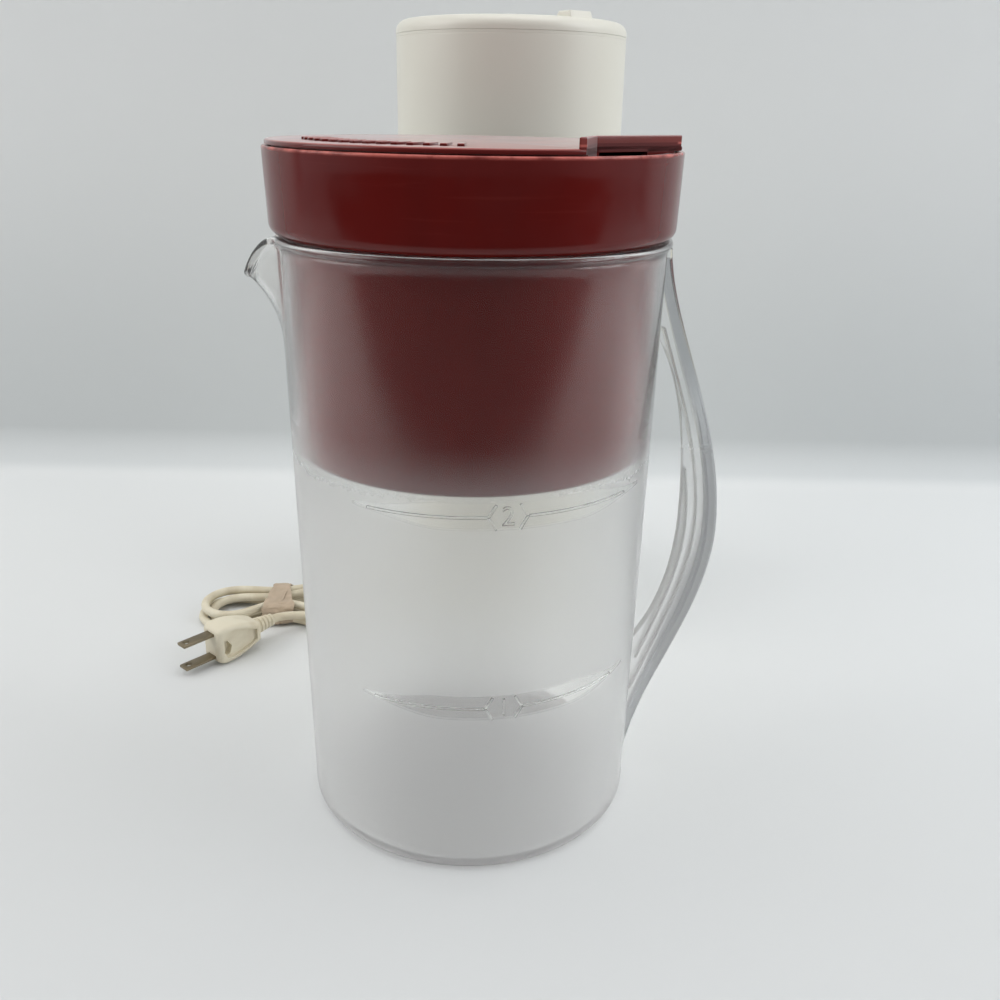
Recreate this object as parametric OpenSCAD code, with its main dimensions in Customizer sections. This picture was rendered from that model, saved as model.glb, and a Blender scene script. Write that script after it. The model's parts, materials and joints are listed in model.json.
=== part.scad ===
// Two-quart iced tea maker: a clear pitcher with a steeping basket and lid,
// and a round heating tower with its own water reservoir and mains cord.
// Millimetres, +Z up, the table is z = 0.

/* [Pitcher] */
// Outer radius of the pitcher wall at the table
pitcher_r = 65.6; // [62:0.1:68]
// How much the wall radius grows over the height of the pitcher
pitcher_flare = 3.2; // [2.6:0.1:4]
// Height of the pitcher rim
pitcher_h = 227.1; // [222:0.1:232]
// Wall thickness of the pitcher
pitcher_wall = 2.4; // [2:0.1:2.8]
// Thickness of the pitcher floor
pitcher_floor = 3.6; // [3:0.1:6]
// Outer rounding between the floor and the wall
pitcher_corner = 4; // [3.5:0.5:9]
// Depth of the hollow under the pitcher floor
foot_hollow = 1; // [0.6:0.1:1.6]
// Height of the bead round the pitcher rim
rim_bead_h = 2.8; // [2:0.1:4]
// How far the rim bead stands out from the wall
rim_bead_out = 1.6; // [1:0.1:1.8]
// Height of the lower level line
low_line_z = 72; // [50:1:100]
// Height of the upper level line
high_line_z = 145; // [120:1:149]
// How far the level lines and numerals stand out
mark_out = 0.5; // [0.3:0.1:0.8]
// Height of the numerals
digit_h = 8; // [5:0.5:10]

/* [Handle and spout] */
// Distance from the pitcher axis to the outside of the handle
handle_reach = 95.3; // [90:0.1:105]
// Depth of the handle from its inner to its outer edge
handle_depth = 13.5; // [11:0.1:16]
// Thickness of the handle web
web_t = 5; // [4:0.1:7]
// Width of the flange along the outside of the handle
flange_w = 17; // [13:0.5:22]
// Thickness of that flange
flange_t = 4.4; // [3:0.1:6]
// How far the lengthwise ridges stand out from the web
ridge_out = 0.8; // [0.4:0.1:1.5]
// Distance from the pitcher axis to the tip of the spout
spout_reach = 81.4; // [78:0.1:86]
// How far the tip of the spout lies below the rim
spout_dip = 15.5; // [12:0.5:16.5]
// Height of the spout from its root to the rim
spout_h = 42; // [34:1:50]
// Half angle of the spout seen from above
spout_half = 19; // [15:1:24]

/* [Basket and lid] */
// Outer radius of the basket band at its rim
band_r = 72; // [71.5:0.1:74]
// Height of the basket band
band_h = 28.6; // [24:0.1:34]
// How much narrower the band is at its lower edge
band_draft = 0.8; // [0.4:0.1:1.2]
// Rounding of the lower edge of the band
band_corner = 4; // [3:0.1:4.5]
// Depth of the basket below the band
basket_depth = 76.9; // [60:0.1:100]
// Wall thickness of the basket
basket_wall = 2; // [1.6:0.1:2.4]
// Radial clearance between the basket and the pitcher at the rim
basket_clear = 0.9; // [0.6:0.1:1.4]
// Width of the slots in the basket floor
slot_w = 1.6; // [1:0.1:2.2]
// Length of the slots in the basket floor
slot_l = 6; // [4:0.5:7]
// Thickness of the lid plate
lid_t = 1.7; // [1.4:0.1:3]
// Depth of the lid skirt inside the basket
skirt_h = 10; // [7:0.5:14]
// Radial clearance of the lid skirt
skirt_clear = 0.6; // [0.4:0.1:1]
// Height of the inlet walls above the lid plate
inlet_wall_h = 3.2; // [2:0.1:5]
// Thickness of the inlet walls
inlet_wall = 2; // [1.6:0.1:2.6]
// Length of the slot through the inlet wall
inlet_slot = 23; // [16:0.5:24]

/* [Tower] */
// Distance between the pitcher axis and the tower axis, front to back
tower_dist = 165.3; // [160:0.1:200]
// Sideways offset of the tower axis from the pitcher axis
tower_side = 12.5; // [0:0.1:20]
// How far the tower is turned, 0 with its spout to the pitcher
tower_turn = 217; // [210:1:225]
// Outer radius of the tower shell
tower_r = 55.3; // [54.5:0.1:58]
// Height of the top edge of the shell
tower_h = 299.1; // [290:0.1:310]
// Wall thickness of the shell
tower_wall = 2.4; // [2:0.1:2.6]
// Height of the rubber feet
foot_h = 3; // [2:0.5:5]
// Radius of the circle on which the feet stand
foot_circle = 38; // [36:0.5:39]
// Radius of the rubber feet
foot_r = 6.5; // [5:0.5:8]
// Thickness of the base plate
base_t = 2.5; // [2:0.1:3.5]
// Height of the closed reservoir lid
cap_h = 6; // [5.5:0.1:9]
// How far the reservoir lid stands out over the shell
cap_over = 0.1; // [0:0.1:1.4]
// Rounding of the lid's upper edge
cap_round = 5; // [3:0.1:5.2]
// Wall thickness of the reservoir lid
cap_wall = 2; // [1.6:0.1:2.4]
// Height of the finger tab on the reservoir lid
tab_h = 2.6; // [1.5:0.1:4]
// Radius of the hinge pin
pin_r = 1.5; // [1.2:0.1:2]
// Radial clearance of the hinge pin
pin_clear = 0.05; // [0.03:0.01:0.1]

/* [Reservoir and water path] */
// Outer radius of the reservoir cup
tank_r = 45; // [42:0.1:45.2]
// Wall thickness of the reservoir
tank_wall = 1.8; // [1.4:0.1:2.4]
// Height of the underside of the reservoir
tank_z = 84; // [82:1:100]
// Thickness of the reservoir flange
tank_flange = 1.3; // [1:0.1:1.8]
// Outer radius of the water tube and nipples
tube_r = 3.5; // [3.2:0.1:3.7]
// Bore radius of the water tube and nipples
tube_bore = 2.6; // [2:0.1:2.8]
// Outer radius of the hoses
hose_r = 5.1; // [5:0.1:5.2]
// Radial clearance between a hose and what it is pushed on
hose_clear = 0.1; // [0.05:0.05:0.15]
// Height of the axis of the heater's water tube
heater_z = 18; // [17:0.5:22]
// Radius of the circle of the heater's water tube
tube_ring = 24; // [23.5:0.1:25]
// Radius of the circle of the heating element
element_ring = 35; // [34.6:0.1:36]
// Radius of the heating element
element_r = 3.3; // [3:0.1:3.5]
// Distance from the tower axis to the front of the outlet spout
outlet_reach = 76; // [72:0.5:82]
// Width of the outlet spout
outlet_w = 30; // [26:1:34]
// Distance from the top of the shell down to the underside of the outlet spout
outlet_drop = 34.1; // [30:0.1:36]
// Height of the outlet spout
outlet_h = 16; // [13:0.5:20]
// Radius of the drip hole under the outlet spout
drip_r = 4.5; // [3:0.1:5.5]

/* [Mains parts] */
// Diameter of the mains cord
cord_d = 4.6; // [4.4:0.1:4.7]
// Height of the axis of the strain relief
relief_z = 11.5; // [11:0.5:14]
// Length of the strain relief outside the shell
relief_l = 18; // [15:0.5:19]
// Length of a plug blade
blade_l = 17; // [15:0.5:18.5]
// Width of a plug blade
blade_w = 6.35; // [6:0.05:6.6]
// Thickness of a plug blade
blade_t = 1.5; // [1.3:0.1:1.65]
// Distance between the two plug blades
blade_gap = 12.7; // [12:0.1:13]
// Travel of the check valve ball
ball_travel = 2; // [1:0.1:2.4]

/* [Hidden] */
$fn = 96;
seat = 0.3;
eps = 0.01;

// Colours
clear_c = [0.82, 0.85, 0.85, 0.45];
red_c = [0.48, 0.10, 0.10];
cream_c = [0.86, 0.84, 0.78];
ivory_c = [0.88, 0.83, 0.70];
steel_c = [0.72, 0.72, 0.74];
alu_c = [0.78, 0.79, 0.80];
black_c = [0.10, 0.10, 0.11];
hose_c = [0.90, 0.90, 0.88];
brass_c = [0.80, 0.66, 0.34];

// Where the two halves of the set stand
outlet_round = 8;
outlet_az = tower_turn - 90;
tower_back = tower_dist + outlet_round
    + (outlet_reach - outlet_round) * sin(outlet_az)
    + (outlet_w / 2 - outlet_round) * abs(cos(outlet_az));
pitcher_x = -(handle_reach - spout_reach) / 2;
pitcher_y = -(tower_back - band_r) / 2;
tower_x = pitcher_x + tower_side;
tower_y = pitcher_y + tower_dist;

// Heights of the stacked pieces
rim_z = pitcher_h + seat + band_h;
basket_z = pitcher_h + seat - basket_depth;
lid_z = rim_z + seat;
lid_top = lid_z + lid_t;
cap_z = tower_h + tank_flange + seat;
cap_top = cap_z + cap_h;
outlet_z = tower_h - outlet_drop;

function wall_r(z) = pitcher_r + pitcher_flare * z / pitcher_h;
function arc(cx, cy, r, a0, a1, n) =
    [for (i = [0:n]) let (a = a0 + (a1 - a0) * i / n) [cx + r * cos(a), cy + r * sin(a)]];
function bez(p, t) = pow(1 - t, 3) * p[0] + 3 * t * pow(1 - t, 2) * p[1]
    + 3 * t * t * (1 - t) * p[2] + pow(t, 3) * p[3];
function bez_line(p, n) = [for (i = [0:n]) bez(p, i / n)];
function unit(v) = v / norm(v);

// A closed skin over a row of rings that all have the same number of points
module skin(rings) {
    n = len(rings[0]);
    m = len(rings);
    side = [for (i = [0:m - 2], j = [0:n - 1]) let (k = (j + 1) % n)
        each [[i * n + j, (i + 1) * n + j, i * n + k], [i * n + k, (i + 1) * n + j, (i + 1) * n + k]]];
    e = (m - 1) * n;
    ends = [for (j = [1:n - 2]) each [[0, j, j + 1], [e, e + j + 1, e + j]]];
    polyhedron([for (r = rings) each r], concat(side, ends), convexity = 8);
}

// Rings of a round tube along a path, each square to the way the path runs
function way(path, i, first, last) = i == 0 && first != undef ? first
    : i == len(path) - 1 && last != undef ? last
    : unit(path[min(i + 1, len(path) - 1)] - path[max(i - 1, 0)]);
function level(d) = unit(cross([0, 0, 1], d));
function tube_rings(path, r, sides, first = undef, last = undef) = [for (i = [0:len(path) - 1])
    let (d = way(path, i, first, last), a = level(d), b = cross(d, a))
    [for (j = [0:sides - 1]) let (w = 360 * (j + 0.5) / sides)
        path[i] + r * cos(w) * a + r * sin(w) * b]];

module at_pitcher() { translate([pitcher_x, pitcher_y, 0]) children(); }
module at_tower() { translate([tower_x, tower_y, 0]) rotate(tower_turn) children(); }
module ring(ro, ri, z0, z1) {
    translate([0, 0, z0]) difference() {
        cylinder(r = ro, h = z1 - z0);
        translate([0, 0, -1]) cylinder(r = ri, h = z1 - z0 + 2);
    }
}

// Pitcher

rim_r = wall_r(pitcher_h);
bore_r = rim_r - pitcher_wall;
inner_corner = pitcher_corner - pitcher_wall;
foot_ring_in = pitcher_r - pitcher_corner - 2;

module pitcher_body() {
    rotate_extrude() polygon(concat(
        [[0, foot_hollow], [foot_ring_in - foot_hollow, foot_hollow], [foot_ring_in, 0]],
        arc(pitcher_r - pitcher_corner, pitcher_corner, pitcher_corner, -90, 0, 8),
        [[wall_r(pitcher_h - rim_bead_h - rim_bead_out), pitcher_h - rim_bead_h - rim_bead_out]],
        arc(rim_r + rim_bead_out - rim_bead_h / 2, pitcher_h - rim_bead_h / 2, rim_bead_h / 2, -60, 90, 6),
        [[bore_r, pitcher_h]],
        arc(pitcher_r - pitcher_wall - inner_corner, pitcher_floor + inner_corner, inner_corner, 0, -90, 6),
        [[0, pitcher_floor]]));
}

// The spout is a smooth bulge of the wall, written as slices round the axis
spout_root = pitcher_h - spout_h;
spout_slices = 14;
spout_levels = 10;
function bulge_side(s) = pow(cos(90 * s), 1.6);
function bulge_up(z) = let (t = max(0, min(1, (z - spout_root) / (spout_h - spout_dip)))) pow(t, 2.1);
spout_sink = 0.4;
function spout_r(s, z) = wall_r(z) - spout_sink
    + (spout_reach - wall_r(pitcher_h) + spout_sink) * bulge_side(abs(s)) * bulge_up(z);
function lip_z(s) = pitcher_h + spout_sink - (spout_dip + spout_sink) * pow(bulge_side(abs(s)), 1.8);
function slice_pt(a, r, z) = [-r * cos(a), r * sin(a), z];
spout_in = bore_r - 8;

module spout_block(thin, z0, z1, in0, in1) {
    skin([for (i = [0:spout_slices])
        let (s = 2 * i / spout_slices - 1, a = s * spout_half)
        concat([slice_pt(a, in0, z0)],
            [for (k = [0:spout_levels]) let (z = z0 + (z1 - z0) * k / spout_levels)
                slice_pt(a, spout_r(s, z) - thin, z)],
            [slice_pt(a, in1, z1)])]);
}
module spout_mass() {
    top = pitcher_h - spout_sink;
    spout_block(0, spout_root, top, wall_r(spout_root) - pitcher_wall / 2, wall_r(top) - pitcher_wall / 2);
}
module spout_hollow() {
    spout_block(pitcher_wall, spout_root + pitcher_wall, pitcher_h + 2, spout_in, spout_in);
}
module spout_cut() {
    skin([for (i = [0:spout_slices])
        let (s = 2 * i / spout_slices - 1, a = s * spout_half)
        [slice_pt(a, spout_in, lip_z(s)), slice_pt(a, spout_reach + 4, lip_z(s)),
            slice_pt(a, spout_reach + 4, pitcher_h + 3), slice_pt(a, spout_in, pitcher_h + 3)]]);
}

// Handle outline: an outer and an inner edge, each made of two curves
grip_z = 118;
handle_top = pitcher_h - 4;
handle_end = 8;
handle_hide = pitcher_wall / 2;
outer_edge = concat(
    bez_line([[rim_r + 2.2, handle_top], [rim_r + 3.7, 196], [handle_reach, 160], [handle_reach, grip_z]], 14),
    bez_line([[handle_reach, grip_z], [handle_reach, 82], [wall_r(8) + 3.3, 42],
        [wall_r(handle_end), handle_end]], 14));
grip_r = handle_reach - handle_depth;
gap_top = 193;
gap_end = 64;
inner_edge = concat(
    bez_line([[wall_r(gap_end) - handle_hide, gap_end], [grip_r - 6, 78], [grip_r, 98], [grip_r, grip_z + 4]], 10),
    bez_line([[grip_r, grip_z + 4], [grip_r, 152], [grip_r - 3.5, 176],
        [wall_r(gap_top) - handle_hide, gap_top]], 10));

module in_side_view(thick) { rotate([90, 0, 0]) linear_extrude(thick, center = true) children(); }
module web_outline() {
    polygon(concat([[wall_r(handle_top) - handle_hide, handle_top]], outer_edge,
        [[wall_r(handle_end) - handle_hide, handle_end]], inner_edge));
}
module edge_strip(from, to) {
    polygon(concat([for (p = outer_edge) p - [from, 0]],
        [for (i = [len(outer_edge) - 1:-1:0]) outer_edge[i] - [to, 0]]));
}
module flange_front() {
    half = flange_w / 2;
    polygon(concat(
        bez_line([[-2.5, handle_top + 1], [-3, 190], [-half, 165], [-half, grip_z]], 10),
        bez_line([[-half, grip_z], [-half, 75], [-2, 50], [-1, 0]], 10),
        bez_line([[1, 0], [2, 50], [half, 75], [half, grip_z]], 10),
        bez_line([[half, grip_z], [half, 165], [3, 190], [2.5, handle_top + 1]], 10)));
}
module handle() {
    in_side_view(web_t) web_outline();
    intersection() {
        in_side_view(flange_w + 2) edge_strip(0, flange_t);
        rotate([90, 0, 90]) linear_extrude(handle_reach + 5) flange_front();
    }
    for (back = [flange_t + 2.4, flange_t + 6.2])
        intersection() {
            in_side_view(web_t + 2 * ridge_out) edge_strip(back, back + 1);
            in_side_view(web_t + 2 * ridge_out + 1) web_outline();
        }
}

// Level lines with a plain numeral in a pointed frame
mark_turn = -78;
mark_span = 41;
line_h = 0.9;
module level_line(z, frame_half) {
    for (side = [0, 1]) mirror([0, side, 0])
        rotate((side == 0 ? mark_turn : -mark_turn) + frame_half)
            rotate_extrude(angle = mark_span - frame_half)
                translate([wall_r(z) - 0.4, z - line_h / 2]) square([0.4 + mark_out, line_h]);
}
module on_wall(z) {
    rotate(mark_turn) translate([wall_r(z), 0, z]) rotate([90, 0, 90])
        translate([0, 0, -0.8]) linear_extrude(0.8 + mark_out) children();
}
stroke = 1;
module bar(p, q) {
    d = q - p;
    translate(p) rotate(atan2(d[1], d[0])) translate([0, -stroke / 2]) square([norm(d), stroke]);
}
module pointed_frame(w) {
    for (s = [-1, 1]) for (t = [-1, 1]) bar([s * w, 0], [s * (w - 2.6), t * digit_h * 0.55]);
}
module digit_one() {
    translate([-stroke / 2, -digit_h / 2]) square([stroke, digit_h]);
    bar([0, digit_h / 2 - stroke / 2], [-2, digit_h / 2 - 2.2]);
}
module digit_two() {
    r = digit_h / 4;
    translate([0, r]) difference() {
        circle(r + stroke / 2);
        circle(r - stroke / 2);
        translate([-2 * r, -2 * r]) square([2 * r, 2 * r]);
        rotate(-50) translate([-2 * r, -2 * r]) square([4 * r, 2 * r]);
    }
    bar([r * 0.75, r * 0.42], [-r, -digit_h / 2 + stroke / 2]);
    translate([-r - stroke / 2, -digit_h / 2]) square([2 * r + stroke, stroke]);
}
module level_marks() {
    level_line(high_line_z, 6);
    level_line(low_line_z, 6);
    on_wall(high_line_z) { pointed_frame(6.6); digit_two(); }
    on_wall(low_line_z) { pointed_frame(6.6); digit_one(); }
}

module pitcher() {
    color(clear_c) at_pitcher() difference() {
        union() {
            pitcher_body();
            spout_mass();
            handle();
            level_marks();
        }
        spout_hollow();
        spout_cut();
    }
}

// Basket

basket_top_r = bore_r - basket_clear;
basket_low_r = basket_top_r - 1.3;
band_low_r = band_r - band_draft;
band_z = pitcher_h + seat;
shelf_in = basket_top_r - basket_wall;
band_in = band_r - basket_wall;

module brew_basket() {
    color(red_c) at_pitcher() difference() {
        rotate_extrude() polygon(concat(
            [[0, basket_z]],
            arc(basket_low_r - 2, basket_z + 2, 2, -90, 0, 4),
            [[basket_top_r, band_z]],
            arc(band_low_r - band_corner, band_z + band_corner, band_corner, -90, 0, 6),
            [[band_r, rim_z - 0.6], [band_r - 0.6, rim_z], [band_in, rim_z]],
            arc(band_low_r - basket_wall - 1.6, band_z + basket_wall + 1.6, 1.6, 0, -90, 4),
            [[shelf_in, band_z + basket_wall], [basket_low_r - basket_wall, basket_z + basket_wall],
                [0, basket_z + basket_wall]]));
        for (k = [1:5]) for (i = [0:4 * k + 1])
            rotate(360 * i / (4 * k + 2) + 7 * k) translate([10 * k + 3, 0, basket_z])
                cube([slot_l, slot_w, 3 * basket_wall], center = true);
    }
}

// Pitcher lid with its inlet

skirt_r = band_low_r - basket_wall - skirt_clear;
skirt_t = 1.8;
lid_r = band_r - 1;
inlet_floor = lid_z - 6;
inlet_floor_t = 1.6;
slot_up = 5.2;
// Corners of the inlet from the lid axis; its back wall runs on past the rim
inlet_corner = [39, -41];
inlet_front = [34, -63];
inlet_end = [74, -9];
lid_ribs = 15;

function left_of(v) = unit([-v[1], v[0]]);
inlet_n1 = left_of(inlet_corner - inlet_front);
inlet_n2 = left_of(inlet_end - inlet_corner);
function inlet_back(t) = inlet_corner + t * (inlet_n1 + inlet_n2) / (1 + inlet_n1 * inlet_n2);
module inlet_walls() {
    polygon([inlet_front, inlet_corner, inlet_end, inlet_end + inlet_wall * inlet_n2,
        inlet_back(inlet_wall), inlet_front + inlet_wall * inlet_n1]);
}
module inlet_plan(grow) {
    polygon([inlet_front * 1.3 + grow * inlet_n1, inlet_front + grow * inlet_n1, inlet_back(grow),
        inlet_end + grow * inlet_n2, [1.3 * band_r, -1.1 * band_r]]);
}
module pitcher_lid() {
    back = inlet_end - inlet_corner;
    back_a = atan2(back[1], back[0]);
    inlet_top = lid_top + inlet_wall_h;
    color(red_c) at_pitcher() {
        difference() {
            union() {
                rotate_extrude() polygon(concat([[0, lid_z]], [[lid_r, lid_z]],
                    arc(lid_r - 1, lid_top - 1, 1, 0, 90, 4), [[0, lid_top]]));
                ring(skirt_r, skirt_r - skirt_t, lid_z - skirt_h, lid_z + eps);
            }
            translate([0, 0, lid_z - 0.6]) linear_extrude(lid_t + 2) inlet_plan(0);
        }
        difference() {
            union() {
                intersection() {
                    translate([0, 0, inlet_floor]) linear_extrude(lid_z + 0.4 - inlet_floor) inlet_walls();
                    translate([0, 0, inlet_floor - 1]) cylinder(r = skirt_r - 0.1, h = 30);
                }
                intersection() {
                    translate([0, 0, lid_z]) linear_extrude(inlet_top - lid_z) inlet_walls();
                    translate([0, 0, lid_z - 1]) cylinder(r = lid_r - 0.4, h = 30);
                }
                intersection() {
                    translate([0, 0, inlet_floor]) linear_extrude(inlet_floor_t) inlet_plan(inlet_wall / 2);
                    translate([0, 0, inlet_floor - 1]) cylinder(r = skirt_r - 0.3, h = 30);
                }
            }
            translate([inlet_corner[0], inlet_corner[1], inlet_floor + inlet_floor_t]) rotate(back_a)
                translate([1, -1, 0]) cube([inlet_slot, inlet_wall + 2, slot_up]);
        }
        for (i = [0:lid_ribs - 1]) rotate(-162 + 5 * i) translate([lid_r - 17, 0, lid_top - 0.2])
            translate([-5, -1, 0]) cube([10, 2, 1]);
    }
}

// Tower shell, lid and base, all drawn round the tower axis with the spout at -Y

shell_in = tower_r - tower_wall;
base_z = foot_h;
base_r = shell_in - 0.3;
boss_ring = shell_in - 5;
boss_r = 4.5;
boss_h = 18;
screw_r = 1.5;
screw_clear = 0.1;
pin_y = -(tower_r + 3.4);
pin_z = tower_h + 2.6;
knuckle_r = 3.2;
knuckle_half = 8;
ear_w = 5;
ear_gap = 0.3;
switch_w = 14;
switch_h = 21;
switch_z = 36;
relief_turn = -12;
relief_r = 5;

module tower_shell() {
    color(cream_c) at_tower() difference() {
        union() {
            ring(tower_r, shell_in, base_z, tower_h);
            for (a = [45:90:315]) rotate(a) difference() {
                union() {
                    translate([boss_ring, 0, base_z + base_t]) cylinder(r = boss_r, h = boss_h);
                    translate([boss_ring, -1.5, base_z + base_t]) cube([5.5, 3, boss_h]);
                }
            }
            for (s = [-1, 1]) hinge_ear(s);
        }
        for (a = [45:90:315]) rotate(a) translate([boss_ring, 0, base_z])
            cylinder(r = screw_r + screw_clear, h = base_t + 14, $fn = 32);
        translate([0, pin_y, pin_z]) rotate([0, 90, 0])
            cylinder(r = pin_r + pin_clear, h = 60, center = true, $fn = 32);
        translate([0, -shell_in, outlet_z + outlet_h / 2])
            cube([outlet_w + 0.4, 20, outlet_h + 0.4], center = true);
        translate([-shell_in, 0, switch_z]) cube([20, switch_w + 0.4, switch_h + 0.4], center = true);
        rotate(relief_turn) translate([shell_in - 3, 0, relief_z]) rotate([0, 90, 0])
            cylinder(r = relief_r - 1 + 0.1, h = 10, $fn = 48);
    }
}
module hinge_ear(s) {
    x0 = s > 0 ? knuckle_half + ear_gap : -knuckle_half - ear_gap - ear_w;
    translate([x0, 0, 0]) rotate([90, 0, 90]) linear_extrude(ear_w) union() {
        translate([pin_y, pin_z]) circle(knuckle_r, $fn = 48);
        polygon([[pin_y - knuckle_r, pin_z], [pin_y + knuckle_r, pin_z],
            [pin_y + knuckle_r, tower_h - 3], [-shell_in + 0.6, tower_h - 3],
            [-shell_in + 0.6, tower_h - 14], [-tower_r + 0.5, tower_h - 20]]);
    }
}

tank_y = shell_in - tank_r - 2.4;
tank_in = tank_r - tank_wall;
feed_x = 10;
feed_y = -sqrt(tube_ring * tube_ring - feed_x * feed_x);

module reservoir() {
    color(cream_c) at_tower() difference() {
        union() {
            translate([0, tank_y, tank_z]) cylinder(r = tank_r, h = tower_h + tank_flange - tank_z);
            translate([0, 0, tower_h]) cylinder(r = tower_r, h = tank_flange);
            translate([-feed_x, feed_y, tank_z - 12]) cylinder(r = tube_r, h = 12 + eps, $fn = 48);
        }
        translate([0, tank_y, tank_z + tank_wall]) cylinder(r = tank_in, h = tower_h);
        translate([-feed_x, feed_y, tank_z - 20]) cylinder(r = tube_bore, h = 40, $fn = 48);
        for (s = [-1, 1]) translate([s * (knuckle_half + ear_gap + ear_w / 2), -tower_r, tower_h])
            cube([ear_w + 1, 6, 10], center = true);
    }
}

cap_r = tower_r + cap_over;
lip_r = tank_in - 0.8;
module reservoir_lid() {
    color(cream_c) at_tower() difference() {
        union() {
            rotate_extrude() polygon(concat(
                [[0, cap_top - cap_wall], [cap_r - cap_round, cap_top - cap_wall]],
                arc(cap_r - cap_round, cap_top - cap_round, cap_round - cap_wall, 90, 0, 6),
                [[cap_r - cap_wall, cap_z], [cap_r, cap_z]],
                arc(cap_r - cap_round, cap_top - cap_round, cap_round, 0, 90, 8),
                [[0, cap_top]]));
            translate([0, tank_y, 0]) ring(lip_r, lip_r - 1.6, tower_h - 3, cap_top - cap_wall + eps);
            translate([0, cap_r - 9, cap_top - 0.5]) finger_tab();
            knuckle();
        }
        for (s = [-1, 1]) translate([s * (knuckle_half + ear_gap + ear_w / 2), -cap_r, tower_h])
            cube([ear_w + 2 * ear_gap, 14, 30], center = true);
        translate([0, pin_y, pin_z]) rotate([0, 90, 0])
            cylinder(r = pin_r + pin_clear, h = 60, center = true, $fn = 32);
    }
}
module knuckle() {
    translate([-knuckle_half, 0, 0]) rotate([90, 0, 90]) linear_extrude(2 * knuckle_half) union() {
        translate([pin_y, pin_z]) circle(knuckle_r, $fn = 48);
        translate([pin_y, cap_z]) square([4.2, pin_z + knuckle_r - cap_z]);
    }
}
module finger_tab() {
    intersection() {
        rotate([90, 0, 90]) linear_extrude(13, center = true)
            polygon([[-6, 0], [-3.5, tab_h + 0.5], [4, tab_h + 0.5], [5.5, 0]]);
        translate([0, -cap_r + 9, -5]) cylinder(r = cap_r - 1.5, h = 20);
    }
}
module lid_hinge_pin() {
    color(steel_c) at_tower() translate([0, pin_y, pin_z]) rotate([0, 90, 0])
        cylinder(r = pin_r, h = 2 * (knuckle_half + ear_gap + ear_w), center = true, $fn = 32);
}

outlet_wall = 2;
riser_y = -45;
riser_x = feed_x;
outlet_back = tank_y - tank_r - 0.4;
outlet_flange = outlet_w / 2 + 4;
outlet_flange_y = 0.3 - sqrt(shell_in * shell_in - outlet_flange * outlet_flange);
module rounded_front(w, y0, y1, r) {
    translate([-w / 2, y0]) square([w, y1 - y0 - r]);
    translate([-w / 2 + r, y0]) square([w - 2 * r, y1 - y0]);
    for (s = [-1, 1]) translate([s * (w / 2 - r), y1 - r]) circle(r);
}
module outlet_spout() {
    inner = outlet_wall;
    color(cream_c) at_tower() difference() {
        union() {
            translate([0, 0, outlet_z]) linear_extrude(outlet_h)
                mirror([0, 1]) rounded_front(outlet_w, -outlet_back, outlet_reach, outlet_round);
            translate([riser_x, riser_y, outlet_z - 14]) cylinder(r = tube_r, h = 14 + eps, $fn = 48);
            translate([-outlet_flange, outlet_flange_y, outlet_z])
                cube([2 * outlet_flange, 2.4, outlet_h + 4]);
        }
        translate([0, 0, outlet_z + inner]) linear_extrude(outlet_h - 2 * inner) mirror([0, 1])
            rounded_front(outlet_w - 2 * inner, -outlet_back + inner, outlet_reach - inner, outlet_round - inner);
        translate([riser_x, riser_y, outlet_z - 20]) cylinder(r = tube_bore, h = 20 + inner + 1, $fn = 48);
        translate([0, -outlet_reach + 10, outlet_z - 1]) cylinder(r = drip_r, h = inner + 2, $fn = 48);
    }
}

// Heater

casting_gap = 88;
ring_start = -90 + casting_gap / 2;
ring_angle = 360 - casting_gap;
casting_in = tube_ring - 6;
casting_out = element_ring + 6;
casting_low = heater_z - 6;
casting_h = 12;
end_turn = 90 - acos(feed_x / tube_ring);
channel = 0.1;
ring_less = 0.3;
lug_ring = 45.5;
lug_r = 4.6;
lug_h = 3;
post_r = 4;

module c_ring(start, angle, at_r) { rotate(start) rotate_extrude(angle = angle) translate([at_r, 0]) children(); }

module heater_casting() {
    color(alu_c) at_tower() difference() {
        union() {
            translate([0, 0, casting_low]) c_ring(ring_start, ring_angle, casting_in)
                square([casting_out - casting_in, casting_h]);
            for (a = [90, 210, 330]) rotate(a) translate([0, 0, casting_low]) {
                translate([lug_ring, 0, 0]) cylinder(r = lug_r, h = lug_h);
                translate([casting_out - 1, -lug_r, 0]) cube([lug_ring - casting_out + 1, 2 * lug_r, lug_h]);
            }
        }
        translate([0, 0, heater_z]) rotate_extrude() translate([tube_ring, 0])
            circle(tube_r - ring_less + channel, $fn = 48);
        translate([0, 0, heater_z]) rotate_extrude() translate([element_ring, 0])
            circle(element_r + channel, $fn = 48);
        for (a = [90, 210, 330]) rotate(a) translate([lug_ring, 0, casting_low - 1])
            cylinder(r = screw_r + 0.2, h = lug_h + 2, $fn = 32);
    }
}
tube_turn = asin(feed_x / tube_ring);
nipple_out = 11;
nipple_up = 16;
module water_ring(r) { c_ring(-90 + tube_turn, 360 - 2 * tube_turn, tube_ring) circle(r, $fn = 48); }
module heater_tube() {
    color(alu_c) at_tower() translate([0, 0, heater_z]) difference() {
        union() {
            water_ring(tube_r - ring_less);
            translate([feed_x, feed_y + tube_r, 0]) rotate([90, 0, 0])
                cylinder(r = tube_r, h = nipple_out + tube_r, $fn = 48);
            translate([-feed_x, feed_y, -tube_r]) cylinder(r = tube_r, h = nipple_up + tube_r, $fn = 48);
        }
        water_ring(tube_bore - ring_less);
        translate([feed_x, feed_y + tube_bore, 0]) rotate([90, 0, 0])
            cylinder(r = tube_bore, h = nipple_out + 9, $fn = 48);
        translate([-feed_x, feed_y, -tube_bore]) cylinder(r = tube_bore, h = nipple_up + 9, $fn = 48);
    }
}
element_turn = casting_gap / 2 + 2;
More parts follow.
